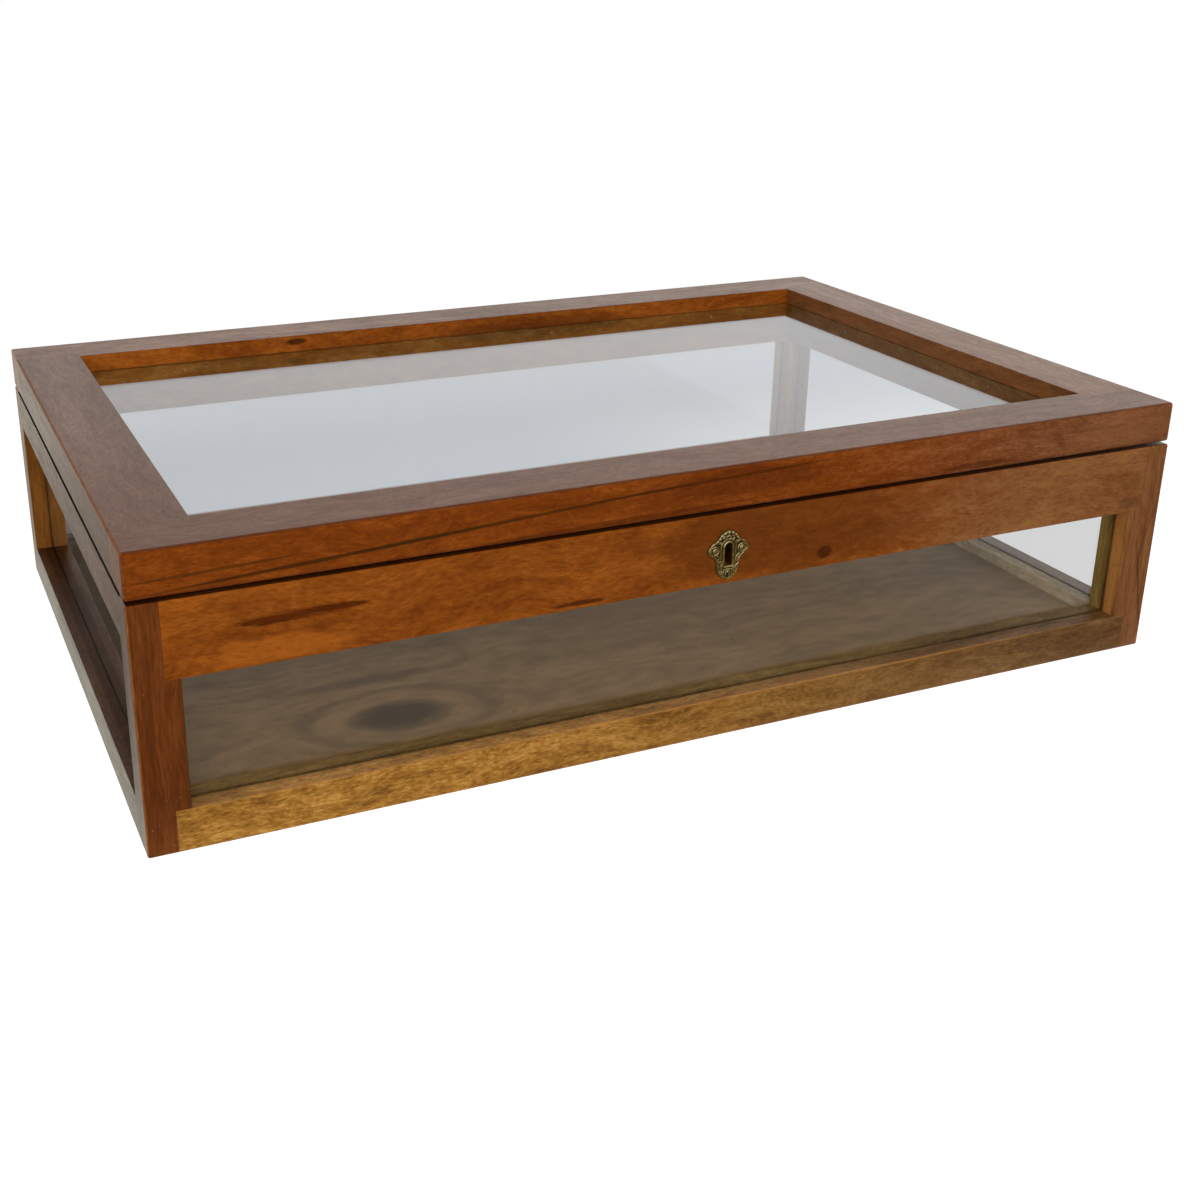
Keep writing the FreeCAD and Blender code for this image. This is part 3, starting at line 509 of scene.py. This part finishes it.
# the far tones, greyer and lighter towards the right end, are partly the wood's own colour and partly a
# painted sheen
oiled_hardwood("lid_front_rail", "X", MAHOGANY, 23.1, far=(60.0, 260.0, SADDLE), whole=lid_whole,
               top_shade=RUST, coarse=(0.75, 0.75), lively=0.95,
               marks=[((-215, -19, -5), (95, 14, 1.1), "35220a", 0.8, 3.0),
                      ((-110, -19, 1), (110, 14, 1.0), "35220a", 0.7, 3.0),
                      ((-270, -19, -2), (50, 14, 0.9), "3d260c", 0.6, 2.0),
                      ((0, -19, 6), (80, 14, 0.9), "3a230e", 0.6, 2.0),
                      ((-60, -19, -9), (90, 14, 1.6), "421c08", 0.5, 1.0),
                      ((166, -19, -8), (26, 14, 2.0), "46210f", 0.6),
                      ((250, -19, 3), (30, 14, 1.2), "4a2a16", 0.5),
                      ((14, -19, 3), (56, 14, 9), "451c08", 0.5),
                      ((275, -19, 0), (45, 14, 12), "93603a", 0.4),
                      ((-310, 0, 12), (1.5, 60, 1.5), "8a4c1c", 0.9),
                      # painted shade: a dark line along the lower edge of the left end, over the closing gap
                      ((-310, 0, -12), (1.2, 60, 1.6), "2e2010", 1.0)])
oiled_hardwood("lid_back_rail", "X", RUSSET, 27.7, whole=lid_whole, top_shade=SADDLE,
               knots=[((-126, -19, 8), (8, 8, 2.4), "2c120a", 0.85)],
               marks=[((60, -19, -2), (90, 8, 12), "3c1a0a", 0.65),
                      ((112, 0, 12), (150, 26, 2), "5c3a20", 0.4)])
oiled_hardwood("lid_left_stile", "Y", RUST, 31.3, whole=lid_whole, joint=STILE_JOINT,
               coarse=(1.6, 0.9), lively=1.0,
               # painted shade: a dark line along the lower outer edge, over the closing gap
               marks=[((0, 19.5, -12), (620, 3, 1.6), "2e2010", 1.0),
                      ((0, 19.5, 12), (620, 1.5, 1.5), "8a4c1c", 0.9)])
oiled_hardwood("lid_right_stile", "Y", FAWN, 34.2, whole=lid_whole, joint=STILE_JOINT, top_shade=CHESTNUT,
               coarse=(1.6, 0.9), lively=1.0)


# ---------------------------------------------------------------------------
# Beads: four mitred strips of the same wood that hold the lid's glass up from below. They were never
# stained, so they look paler and more olive than the frame round them.

WHEAT = ("4a3613", "6b5026", "8f723c")

for number, (side, grain) in enumerate((("front", "X"), ("back", "X"), ("left", "Y"), ("right", "Y"))):
    oiled_hardwood("lid_" + side + "_bead", grain, WHEAT, 41.9 + 1.7 * number)


# ---------------------------------------------------------------------------
# Hinges, lock and link plate: rolled and pressed brass, dulled by handling; the drill pin and the
# bolt's spring are bright drawn steel.

ROLLED_BRASS = ("d0ab62", "94733a")
PRESSED_BRASS = ("bf9a55", "7d5f30")
DRAWN_STEEL = ("a3a19e", "6f6c68")


def worked_metal(name, tones, roughness, cloud=5.0, scratch=(14.0, 0.35)):
    """Metal with patches of tarnish and fine scratches from rubbing down. Sizes in mm; real scratches
    are finer, drawn coarser so that they show."""
    material, tree = empty_material(name)
    here = add(tree, "TexCoord", out="Object")
    tarnish = grain_layer(tree, here, (cloud, cloud), 2.0, 4.0)
    lines = grain_layer(tree, here, scratch, 6.0)
    share = add(tree, "MapRange", tarnish, 0.35, 0.65, 0.0, 0.8, interpolation_type="SMOOTHSTEP")
    tint = add(tree, "Mix", share, named={6: linear(tones[0]), 7: linear(tones[1])}, **COLOUR)
    rough = add(tree, "MapRange", tarnish, 0.3, 0.7, roughness - 0.06, roughness + 0.12)
    bump = add(tree, "Bump", 0.2, named={"Distance": 0.03 * MM, "Height": lines})
    add(tree, "OutputMaterial", add(tree, "BsdfPrincipled", tint, 1.0, rough, named={"Normal": bump}))
    return material


rolled_brass = worked_metal("rolled_brass", ROLLED_BRASS, 0.34)
pressed_brass = worked_metal("pressed_brass", PRESSED_BRASS, 0.4)
drawn_steel = worked_metal("drawn_steel", DRAWN_STEEL, 0.32)
for node in ("left_hinge_case_leaf", "right_hinge_case_leaf", "left_hinge_lid_leaf", "right_hinge_lid_leaf",
             "hinge_pins"):
    dress(node, rolled_brass)
for node in ("lock_plate", "lock_cap", "lock_bolt", "link_plate"):
    dress(node, pressed_brass)
for node in ("lock_drill_pin", "lock_spring"):
    dress(node, drawn_steel)


# ---------------------------------------------------------------------------
# Screws: countersunk slotted brass wood screws, driven by hand, so that each slot stands as it came.
# They hold the hinge leaves, the lock plate and the link plate.

HINGE_SCREW = {"Head radius": 2.5, "Head height": 1.2, "Shank radius": 1.3, "Length": 13.0, "Slot width": 0.7,
               "Slot depth": 0.6}
LOCK_SCREW = {"Head radius": 2.1, "Head height": 1.0, "Shank radius": 1.1, "Length": 9.0, "Slot width": 0.6,
              "Slot depth": 0.6}
HINGE_SCREW_STEP = 17.0        # mm between a leaf's screws
LOCK_SCREW_END = 3.0           # mm from the end of a plate to its screws
SIDES = 24


def sized_tree(name, sizes):
    """A Geometry Nodes tree that takes points and named sizes in metres."""
    tree = bpy.data.node_groups.new(name, "GeometryNodeTree")
    tree.interface.new_socket("Geometry", in_out="INPUT", socket_type="NodeSocketGeometry")
    for size in sizes:
        tree.interface.new_socket(size, in_out="INPUT", socket_type="NodeSocketFloat")
    tree.interface.new_socket("Geometry", in_out="OUTPUT", socket_type="NodeSocketGeometry")
    return tree, add(tree, "NodeGroupInput").node.outputs


def set_along(tree, points, shape, seed, material):
    """Sets a copy of a shape at each point, with its Z along the point's aim and turned at random."""
    aim = add(tree, "GeometryNodeInputNamedAttribute", "aim", data_type="FLOAT_VECTOR")
    stand = add(tree, "FunctionNodeAlignRotationToVector", None, None, aim, axis="Z")
    angle = add(tree, "FunctionNodeRandomValue", named={2: 0.0, 3: math.pi, "Seed": seed}, out=1,
                data_type="FLOAT")
    twist = add(tree, "FunctionNodeAxisAngleToRotation", (0, 0, 1), angle)
    turned = add(tree, "FunctionNodeRotateRotation", stand, twist, rotation_space="LOCAL")
    copies = add(tree, "GeometryNodeInstanceOnPoints", points, None, shape, named={"Rotation": turned})
    real = add(tree, "GeometryNodeRealizeInstances", copies)
    add(tree, "NodeGroupOutput", add(tree, "GeometryNodeSetMaterial", real, None, material))


def screw_tree(material):
    tree, given = sized_tree("slotted_screws", HINGE_SCREW)
    down = [add(tree, "ShaderNodeMath", given[size], -1.0, operation="MULTIPLY")
            for size in ("Head height", "Length")]
    shank_height = add(tree, "ShaderNodeMath", given["Length"], given["Head height"], operation="SUBTRACT")
    head = add(tree, "GeometryNodeMeshCone", SIDES, 1, 1, given["Head radius"], given["Shank radius"],
               given["Head height"])
    shank = add(tree, "GeometryNodeMeshCone", SIDES, 4, 1, given["Shank radius"], 0.2 * MM, shank_height)
    places = [add(tree, "ShaderNodeCombineXYZ", None, None, z) for z in down]
    parts = [add(tree, "GeometryNodeTransform", shape, named={"Translation": place})
             for shape, place in zip((head, shank), places)]
    both = add(tree, "GeometryNodeMeshBoolean", operation="UNION", solver="EXACT")
    for part in parts:
        tree.links.new(part, both.node.inputs["Mesh 2"])
    deep = add(tree, "ShaderNodeMath", given["Slot depth"], 2.0, operation="MULTIPLY")
    size = add(tree, "ShaderNodeCombineXYZ", 8 * MM, given["Slot width"], deep)
    slot = add(tree, "GeometryNodeMeshCube", size)
    cut = add(tree, "GeometryNodeMeshBoolean", both, slot, operation="DIFFERENCE", solver="EXACT")
    set_along(tree, given["Geometry"], cut, 7, material)
    return tree


def set_out(name, tree, sizes, places, node, body):
    """Makes the plain mesh of a tree's shapes at places, each (point, aim), to stand for a CAD node."""
    mesh = bpy.data.meshes.new(name + "_places")
    mesh.from_pydata([point for point, _ in places], [], [])
    aims = mesh.attributes.new("aim", "FLOAT_VECTOR", "POINT")
    for item, (_, aim) in zip(aims.data, places):
        item.vector = aim
    holder = bpy.data.objects.new(name + "_places", mesh)
    bpy.context.scene.collection.objects.link(holder)
    modifier = holder.modifiers.new("set_out", "NODES")
    modifier.node_group = tree
    for item in tree.interface.items_tree:
        if item.in_out == "INPUT" and item.name in sizes:
            modifier[item.identifier] = sizes[item.name] * MM
    evaluated = holder.evaluated_get(bpy.context.evaluated_depsgraph_get())
    piece = bpy.data.objects.new(name, bpy.data.meshes.new_from_object(evaluated))
    holder.modifiers.clear()
    bpy.data.objects.remove(holder)
    bpy.context.scene.collection.objects.link(piece)
    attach(piece, body)
    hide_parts(node)
    return piece


screws = screw_tree(rolled_brass)
UP, DOWN, FORWARD, BACK = (0, 0, 1), (0, 0, -1), (0, -1, 0), (0, 1, 0)
case_leaf_tops, lid_leaf_tops = [], []
for side in ("left", "right"):
    for kind, tops in (("case", case_leaf_tops), ("lid", lid_leaf_tops)):
        low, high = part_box(f"{side}_hinge_{kind}_leaf")
        screw_low, screw_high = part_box(f"{kind}_hinge_screws")
        level, aim = (screw_high.z, UP) if kind == "case" else (screw_low.z, DOWN)
        for step in (-1, 0, 1):
            across = (low.x + high.x) / 2 + step * HINGE_SCREW_STEP * MM
            tops.append(((across, (screw_low.y + screw_high.y) / 2, level), aim))
set_out("case_hinge_slotted_screws", screws, HINGE_SCREW, case_leaf_tops, "case_hinge_screws", "case")
set_out("lid_hinge_slotted_screws", screws, HINGE_SCREW, lid_leaf_tops, "lid_hinge_screws", "lid")

plate_low, plate_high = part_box("lock_plate")
lock_places = []
for x in (plate_low.x + LOCK_SCREW_END * MM, plate_high.x - LOCK_SCREW_END * MM):
    lock_places += [((x, (plate_low.y + plate_high.y) / 2, plate_high.z), UP),
                    ((x, plate_high.y, plate_low.z + LOCK_SCREW_END * MM), BACK)]
set_out("lock_slotted_screws", screws, LOCK_SCREW, lock_places, "lock_screws", "case")
screw_low, screw_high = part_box("link_plate_screws")
link_low, link_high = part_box("link_plate")
link_places = [((x, (screw_low.y + screw_high.y) / 2, screw_low.z), DOWN)
               for x in (link_low.x + LOCK_SCREW_END * MM, link_high.x - LOCK_SCREW_END * MM)]
set_out("link_plate_slotted_screws", screws, LOCK_SCREW, link_places, "link_plate_screws", "lid")


# ---------------------------------------------------------------------------
# Brads: bright drawn steel with small lost heads, about every 130 mm, driven level through the beads
# into the lid's frame.

BRAD = {"Head radius": 0.85, "Shank radius": 0.6, "Head height": 0.8, "Length": 14.0}
BRAD_STEP = 130.0          # mm, about this far between the brads of a bead


def brad_tree(material):
    tree, given = sized_tree("bead_brads", BRAD)
    shank = add(tree, "GeometryNodeMeshCone", 12, 1, 1, given["Shank radius"], 0.1 * MM, given["Length"])
    head = add(tree, "GeometryNodeMeshCone", 12, 1, 1, given["Head radius"], given["Shank radius"],
               given["Head height"])
    both = add(tree, "GeometryNodeMeshBoolean", operation="UNION", solver="EXACT")
    for shape, size in ((shank, "Length"), (head, "Head height")):
        down = add(tree, "ShaderNodeMath", given[size], -1.0, operation="MULTIPLY")
        place = add(tree, "ShaderNodeCombineXYZ", None, None, down)
        tree.links.new(add(tree, "GeometryNodeTransform", shape, named={"Translation": place}),
                       both.node.inputs["Mesh 2"])
    set_along(tree, given["Geometry"], both, 3, material)
    return tree


brad_places = []
for side, axis, inward in (("front", 0, 1), ("back", 0, -1), ("left", 1, 1), ("right", 1, -1)):
    low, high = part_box("lid_" + side + "_bead")
    inner = (high if inward > 0 else low)[1 - axis]
    length = high[axis] - low[axis] - 2 * (high[1 - axis] - low[1 - axis])
    count = round(length / (BRAD_STEP * MM))
    for n in range(count):
        point, aim = Vector((inner, inner, (low.z + high.z) / 2)), Vector((0, 0, 0))
        point[axis] = (low[axis] + high[axis]) / 2 + ((n + 0.5) / count - 0.5) * length
        aim[1 - axis] = inward
        brad_places.append((point, aim))
set_out("lid_bead_lost_head_brads", brad_tree(drawn_steel), BRAD, brad_places, "lid_bead_brads", "lid")


# ---------------------------------------------------------------------------
# Keyhole plate: a small brass casting with a rim round the keyhole, a screw in each ear, and leaves,
# beads and scrolls in low relief. The hollows are dark with old polish; the high places that face the
# light carry a painted highlight.

RAYS = 300
RINGS = 44
LEVEL = 0.95               # mm, the plate without its relief
SPAN = 1.15                # mm, the relief's greatest height above that
# strokes in mm from the plate's middle for its right half: (points, half width, height)
STROKES = (
    (((8.2, 5.6), (10.3, 5.0), (10.9, 3.1), (10.1, 1.3), (8.2, 0.8), (6.4, 1.5), (5.8, 3.2), (6.4, 4.9),
      (8.2, 5.6)), 0.45, 0.55),
    (((11.3, 5.2), (12.0, 3.5), (11.2, 1.6)), 0.4, 0.5),
    (((5.0, 6.6), (6.6, 7.8), (8.6, 7.3), (10.4, 6.2)), 0.5, 0.5),
    (((0.0, 8.6), (1.2, 9.3), (1.3, 10.6), (0.0, 11.0)), 0.45, 0.6),
    (((2.6, 8.8), (3.4, 9.9), (2.6, 10.7)), 0.45, 0.6),
    (((9.4, 0.2), (7.9, -0.7), (7.0, -2.4), (6.5, -4.6)), 0.5, 0.5),
    (((6.6, 0.2), (5.3, -0.9), (4.6, -2.7), (5.0, -4.0), (5.9, -3.9), (6.0, -3.0)), 0.45, 0.55),
    (((6.2, -5.4), (5.2, -6.2), (4.5, -7.7), (4.6, -8.9), (5.4, -9.2)), 0.5, 0.6),
    (((3.6, -4.9), (3.9, -6.3), (3.3, -7.6)), 0.45, 0.5),
    (((0.8, -8.0), (1.3, -10.2), (1.2, -13.2)), 0.45, 0.55),
    (((2.2, -8.3), (2.8, -10.6), (2.6, -12.7)), 0.5, 0.6),
    (((3.6, -9.0), (4.1, -10.6), (3.9, -11.8)), 0.45, 0.5),
)
BEADS = ((0.0, 12.6, 1.0, 0.95), (2.3, 12.3, 0.95, 0.9), (4.2, 11.1, 0.9, 0.9), (5.4, 9.6, 0.85, 0.85),
         (7.0, 8.5, 0.8, 0.85), (9.3, 7.0, 0.8, 0.8), (4.9, 7.5, 0.6, 0.55), (2.3, 8.0, 0.5, 0.5),
         (6.1, -1.9, 0.6, 0.5), (3.7, -3.6, 0.5, 0.4), (0.0, -9.6, 0.9, 0.7), (0.0, -7.6, 0.5, 0.5),
         (5.3, -10.3, 0.6, 0.6))
#        across, up, radius and height, in mm
RIMS = ((0.55, 0.6, 0.85), (2.2, 0.4, 0.45))    # round the keyhole: mm from its edge, half width, height
BORDER = (0.65, 0.5, 0.4)                       # and round the plate
EDGE_EASE = (0.4, 0.5, 0.3)                     # mm: depth, reach from the plate's edge, from the keyhole's
WAVES = ((1.7, 0.9), (1.3, 0.0))                # slow unevenness of the casting, per mm, and its start
EAR_SCREW = {"Head radius": 1.75, "Head height": 0.75, "Shank radius": 0.7, "Length": 9.0, "Slot width": 0.45,
             "Slot depth": 0.5}
# dark hollows, middle tone, and the light tone of the painted highlights
OLD_BRASS = ("2a1f0c", "6d5827", "e2ce90")
GLINT_FACING = (-0.45, -0.6, 0.66)     # the way that the high places with a painted highlight face, towards the light


def outline_gap(points, path, closed=False):
    """Distance from each point to the nearest segment of a path, all in mm."""
    path = np.asarray(path, float)
    starts, ends = (path, np.roll(path, -1, 0)) if closed else (path[:-1], path[1:])
    best = np.full(len(points), 1e9)
    for start, end in zip(starts, ends):
        run = end - start
        share = np.clip((points - start) @ run / (run @ run), 0, 1)[:, None]
        best = np.minimum(best, np.linalg.norm(points - start - share * run, axis=1))
    return best


def ridge(gap, half_width, height):
    return height * np.clip(1 - (gap / half_width) ** 2, 0, None) ** 0.6


plate_low, plate_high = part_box("keyhole_plate")
middle = (plate_low + plate_high) / 2
back_y = plate_high.y
cad_mesh = nodes["keyhole_plate"].data
solid = BVHTree.FromPolygons([v.co for v in cad_mesh.vertices], [p.vertices for p in cad_mesh.polygons])
eye = Vector((middle.x, back_y - 0.5 * MM, middle.z))
inner, outer = [], []
for n in range(RAYS):
    angle = 2 * math.pi * n / RAYS
    ray = Vector((math.cos(angle), 0, math.sin(angle)))
    for ring, start, way in ((inner, eye, ray), (outer, eye + ray, -ray)):
        hit = solid.ray_cast(start, way)[0]
        ring.append(((hit.x - middle.x) / MM, (hit.z - middle.z) / MM))
inner, outer = np.array(inner), np.array(outer)
shares = np.linspace(0, 1, RINGS)[:, None, None]
flat = (inner + (outer - inner) * shares).reshape(-1, 2)
half_flat = np.abs(flat * (1, 0)) + flat * (0, 1)
hole_gap, edge = outline_gap(flat, inner, True), outline_gap(flat, outer, True)
relief = ridge(edge - BORDER[0], *BORDER[1:])
for offset, half_width, height in RIMS:
    relief = np.maximum(relief, ridge(hole_gap - offset, half_width, height))
for points, half_width, height in STROKES:
    relief = np.maximum(relief, ridge(outline_gap(half_flat, points), half_width, height))
for across, up, radius, height in BEADS:
    relief = np.maximum(relief, ridge(np.linalg.norm(half_flat - (across, up), axis=1), radius, height))
waves = [np.sin(rate * flat[:, axis] + start) for axis, (rate, start) in enumerate(WAVES)]
relief *= 0.9 + 0.1 * waves[0] * waves[1]
depth, edge_reach, hole_reach = EDGE_EASE
eased = depth * (np.clip(1 - edge / edge_reach, 0, 1) ** 2 + np.clip(1 - hole_gap / hole_reach, 0, 1) ** 2)
proud = LEVEL + SPAN * relief - eased

points = [(middle.x + u * MM, back_y - h * MM, middle.z + v * MM) for (u, v), h in zip(flat, proud)]
points += [(middle.x + u * MM, back_y, middle.z + v * MM) for u, v in (*inner, *outer)]
first_back = RINGS * RAYS
rows = [range(r * RAYS, (r + 1) * RAYS) for r in range(RINGS)]
rows += [range(first_back + RAYS, first_back + 2 * RAYS), range(first_back, first_back + RAYS), rows[0]]
faces = [(a[n], a[(n + 1) % RAYS], b[(n + 1) % RAYS], b[n])
         for a, b in zip(rows, rows[1:]) for n in range(RAYS)]
plate_mesh = bpy.data.meshes.new("keyhole_plate_casting")
plate_mesh.from_pydata(points, [], faces)
shaped = bmesh.new()
shaped.from_mesh(plate_mesh)
bmesh.ops.recalc_face_normals(shaped, faces=shaped.faces)
shaped.to_mesh(plate_mesh)
shaped.free()
plate_mesh.polygons.foreach_set("use_smooth", [True] * len(plate_mesh.polygons))
height = plate_mesh.attributes.new("relief", "FLOAT", "POINT")
height.data.foreach_set("value", [*relief, *([0.0] * (2 * RAYS))])


def antique_brass(name, relief=None):
    """Brass with dark hollows and a painted highlight on the high places that face the light; relief is the
    name of the mesh's own heights.
    """
    material, tree = empty_material(name)
    here = add(tree, "TexCoord", out="Object")
    height = add(tree, "Attribute", out="Fac", attribute_name=relief) if relief else 0.35
    pits = grain_layer(tree, here, (0.7, 0.7), 3.0, 3.0)
    height = add(tree, "Math", pits, 0.35, height, operation="MULTIPLY_ADD")
    share = add(tree, "MapRange", height, 0.15, 0.45)
    tint = add(tree, "Mix", share, named={6: linear(OLD_BRASS[0]), 7: linear(OLD_BRASS[1])}, **COLOUR)
    # painted highlight: high places that face GLINT_FACING take the light tone
    facing = add(tree, "VectorMath", add(tree, "NewGeometry", out="Normal"), GLINT_FACING, out="Value",
                 operation="DOT_PRODUCT")
    high, turned = add(tree, "MapRange", height, 0.3, 0.6), add(tree, "MapRange", facing, 0.72, 0.93)
    share = add(tree, "Math", high, turned, operation="MULTIPLY")
    tint = add(tree, "Mix", share, named={6: tint, 7: linear(OLD_BRASS[2])}, **COLOUR)
    metal = add(tree, "MapRange", height, 0.15, 0.8, 0.1, 0.35)
    rough = add(tree, "MapRange", height, 0.15, 0.8, 0.6, 0.3)
    bump = add(tree, "Bump", 0.35, named={"Distance": 0.05 * MM, "Height": pits})
    add(tree, "OutputMaterial", add(tree, "BsdfPrincipled", tint, metal, rough, named={"Normal": bump}))
    return material


plate_mesh.materials.append(antique_brass("antique_cast_brass", "relief"))
casting = bpy.data.objects.new("keyhole_plate_casting", plate_mesh)
bpy.context.scene.collection.objects.link(casting)
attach(casting, "case")
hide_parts("keyhole_plate")


def ear_screw_tree(material):
    """Round-headed slotted screws: a low dome on a thin shank."""
    tree, given = sized_tree("ear_screws", EAR_SCREW)
    dome = add(tree, "GeometryNodeMeshUVSphere", SIDES, 16, 1.0)
    size = add(tree, "ShaderNodeCombineXYZ", given["Head radius"], given["Head radius"], given["Head height"])
    dome = add(tree, "GeometryNodeTransform", dome, named={"Scale": size})
    shank = add(tree, "GeometryNodeMeshCone", 12, 1, 1, given["Shank radius"], 0.1 * MM, given["Length"])
    down = add(tree, "ShaderNodeMath", given["Length"], -1.0, operation="MULTIPLY")
    place = add(tree, "ShaderNodeCombineXYZ", None, None, down)
    shank = add(tree, "GeometryNodeTransform", shank, named={"Translation": place})
    both = add(tree, "GeometryNodeMeshBoolean", operation="UNION", solver="EXACT")
    for part in (dome, shank):
        tree.links.new(part, both.node.inputs["Mesh 2"])
    slot = add(tree, "GeometryNodeMeshCube", add(tree, "ShaderNodeCombineXYZ", 8 * MM, given["Slot width"],
                                                 given["Slot depth"]))
    slot = add(tree, "GeometryNodeTransform", slot, named={
        "Translation": add(tree, "ShaderNodeCombineXYZ", None, None, given["Head height"])})
    cut = add(tree, "GeometryNodeMeshBoolean", both, slot, operation="DIFFERENCE", solver="EXACT")
    set_along(tree, given["Geometry"], cut, 11, material)
    return tree


pin_low, pin_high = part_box("keyhole_plate_pins")
PIN_HEAD_CAD = 1.2             # mm, radius of the heads in the solid model
pin_z = (pin_low.z + pin_high.z) / 2
pin_level = pin_low.y + EAR_SCREW["Head height"] * MM
pin_places = [((x, pin_level, pin_z), FORWARD)
              for x in (pin_low.x + PIN_HEAD_CAD * MM, pin_high.x - PIN_HEAD_CAD * MM)]
set_out("keyhole_plate_ear_screws", ear_screw_tree(antique_brass("antique_turned_brass")), EAR_SCREW,
        pin_places, "keyhole_plate_pins", "case")
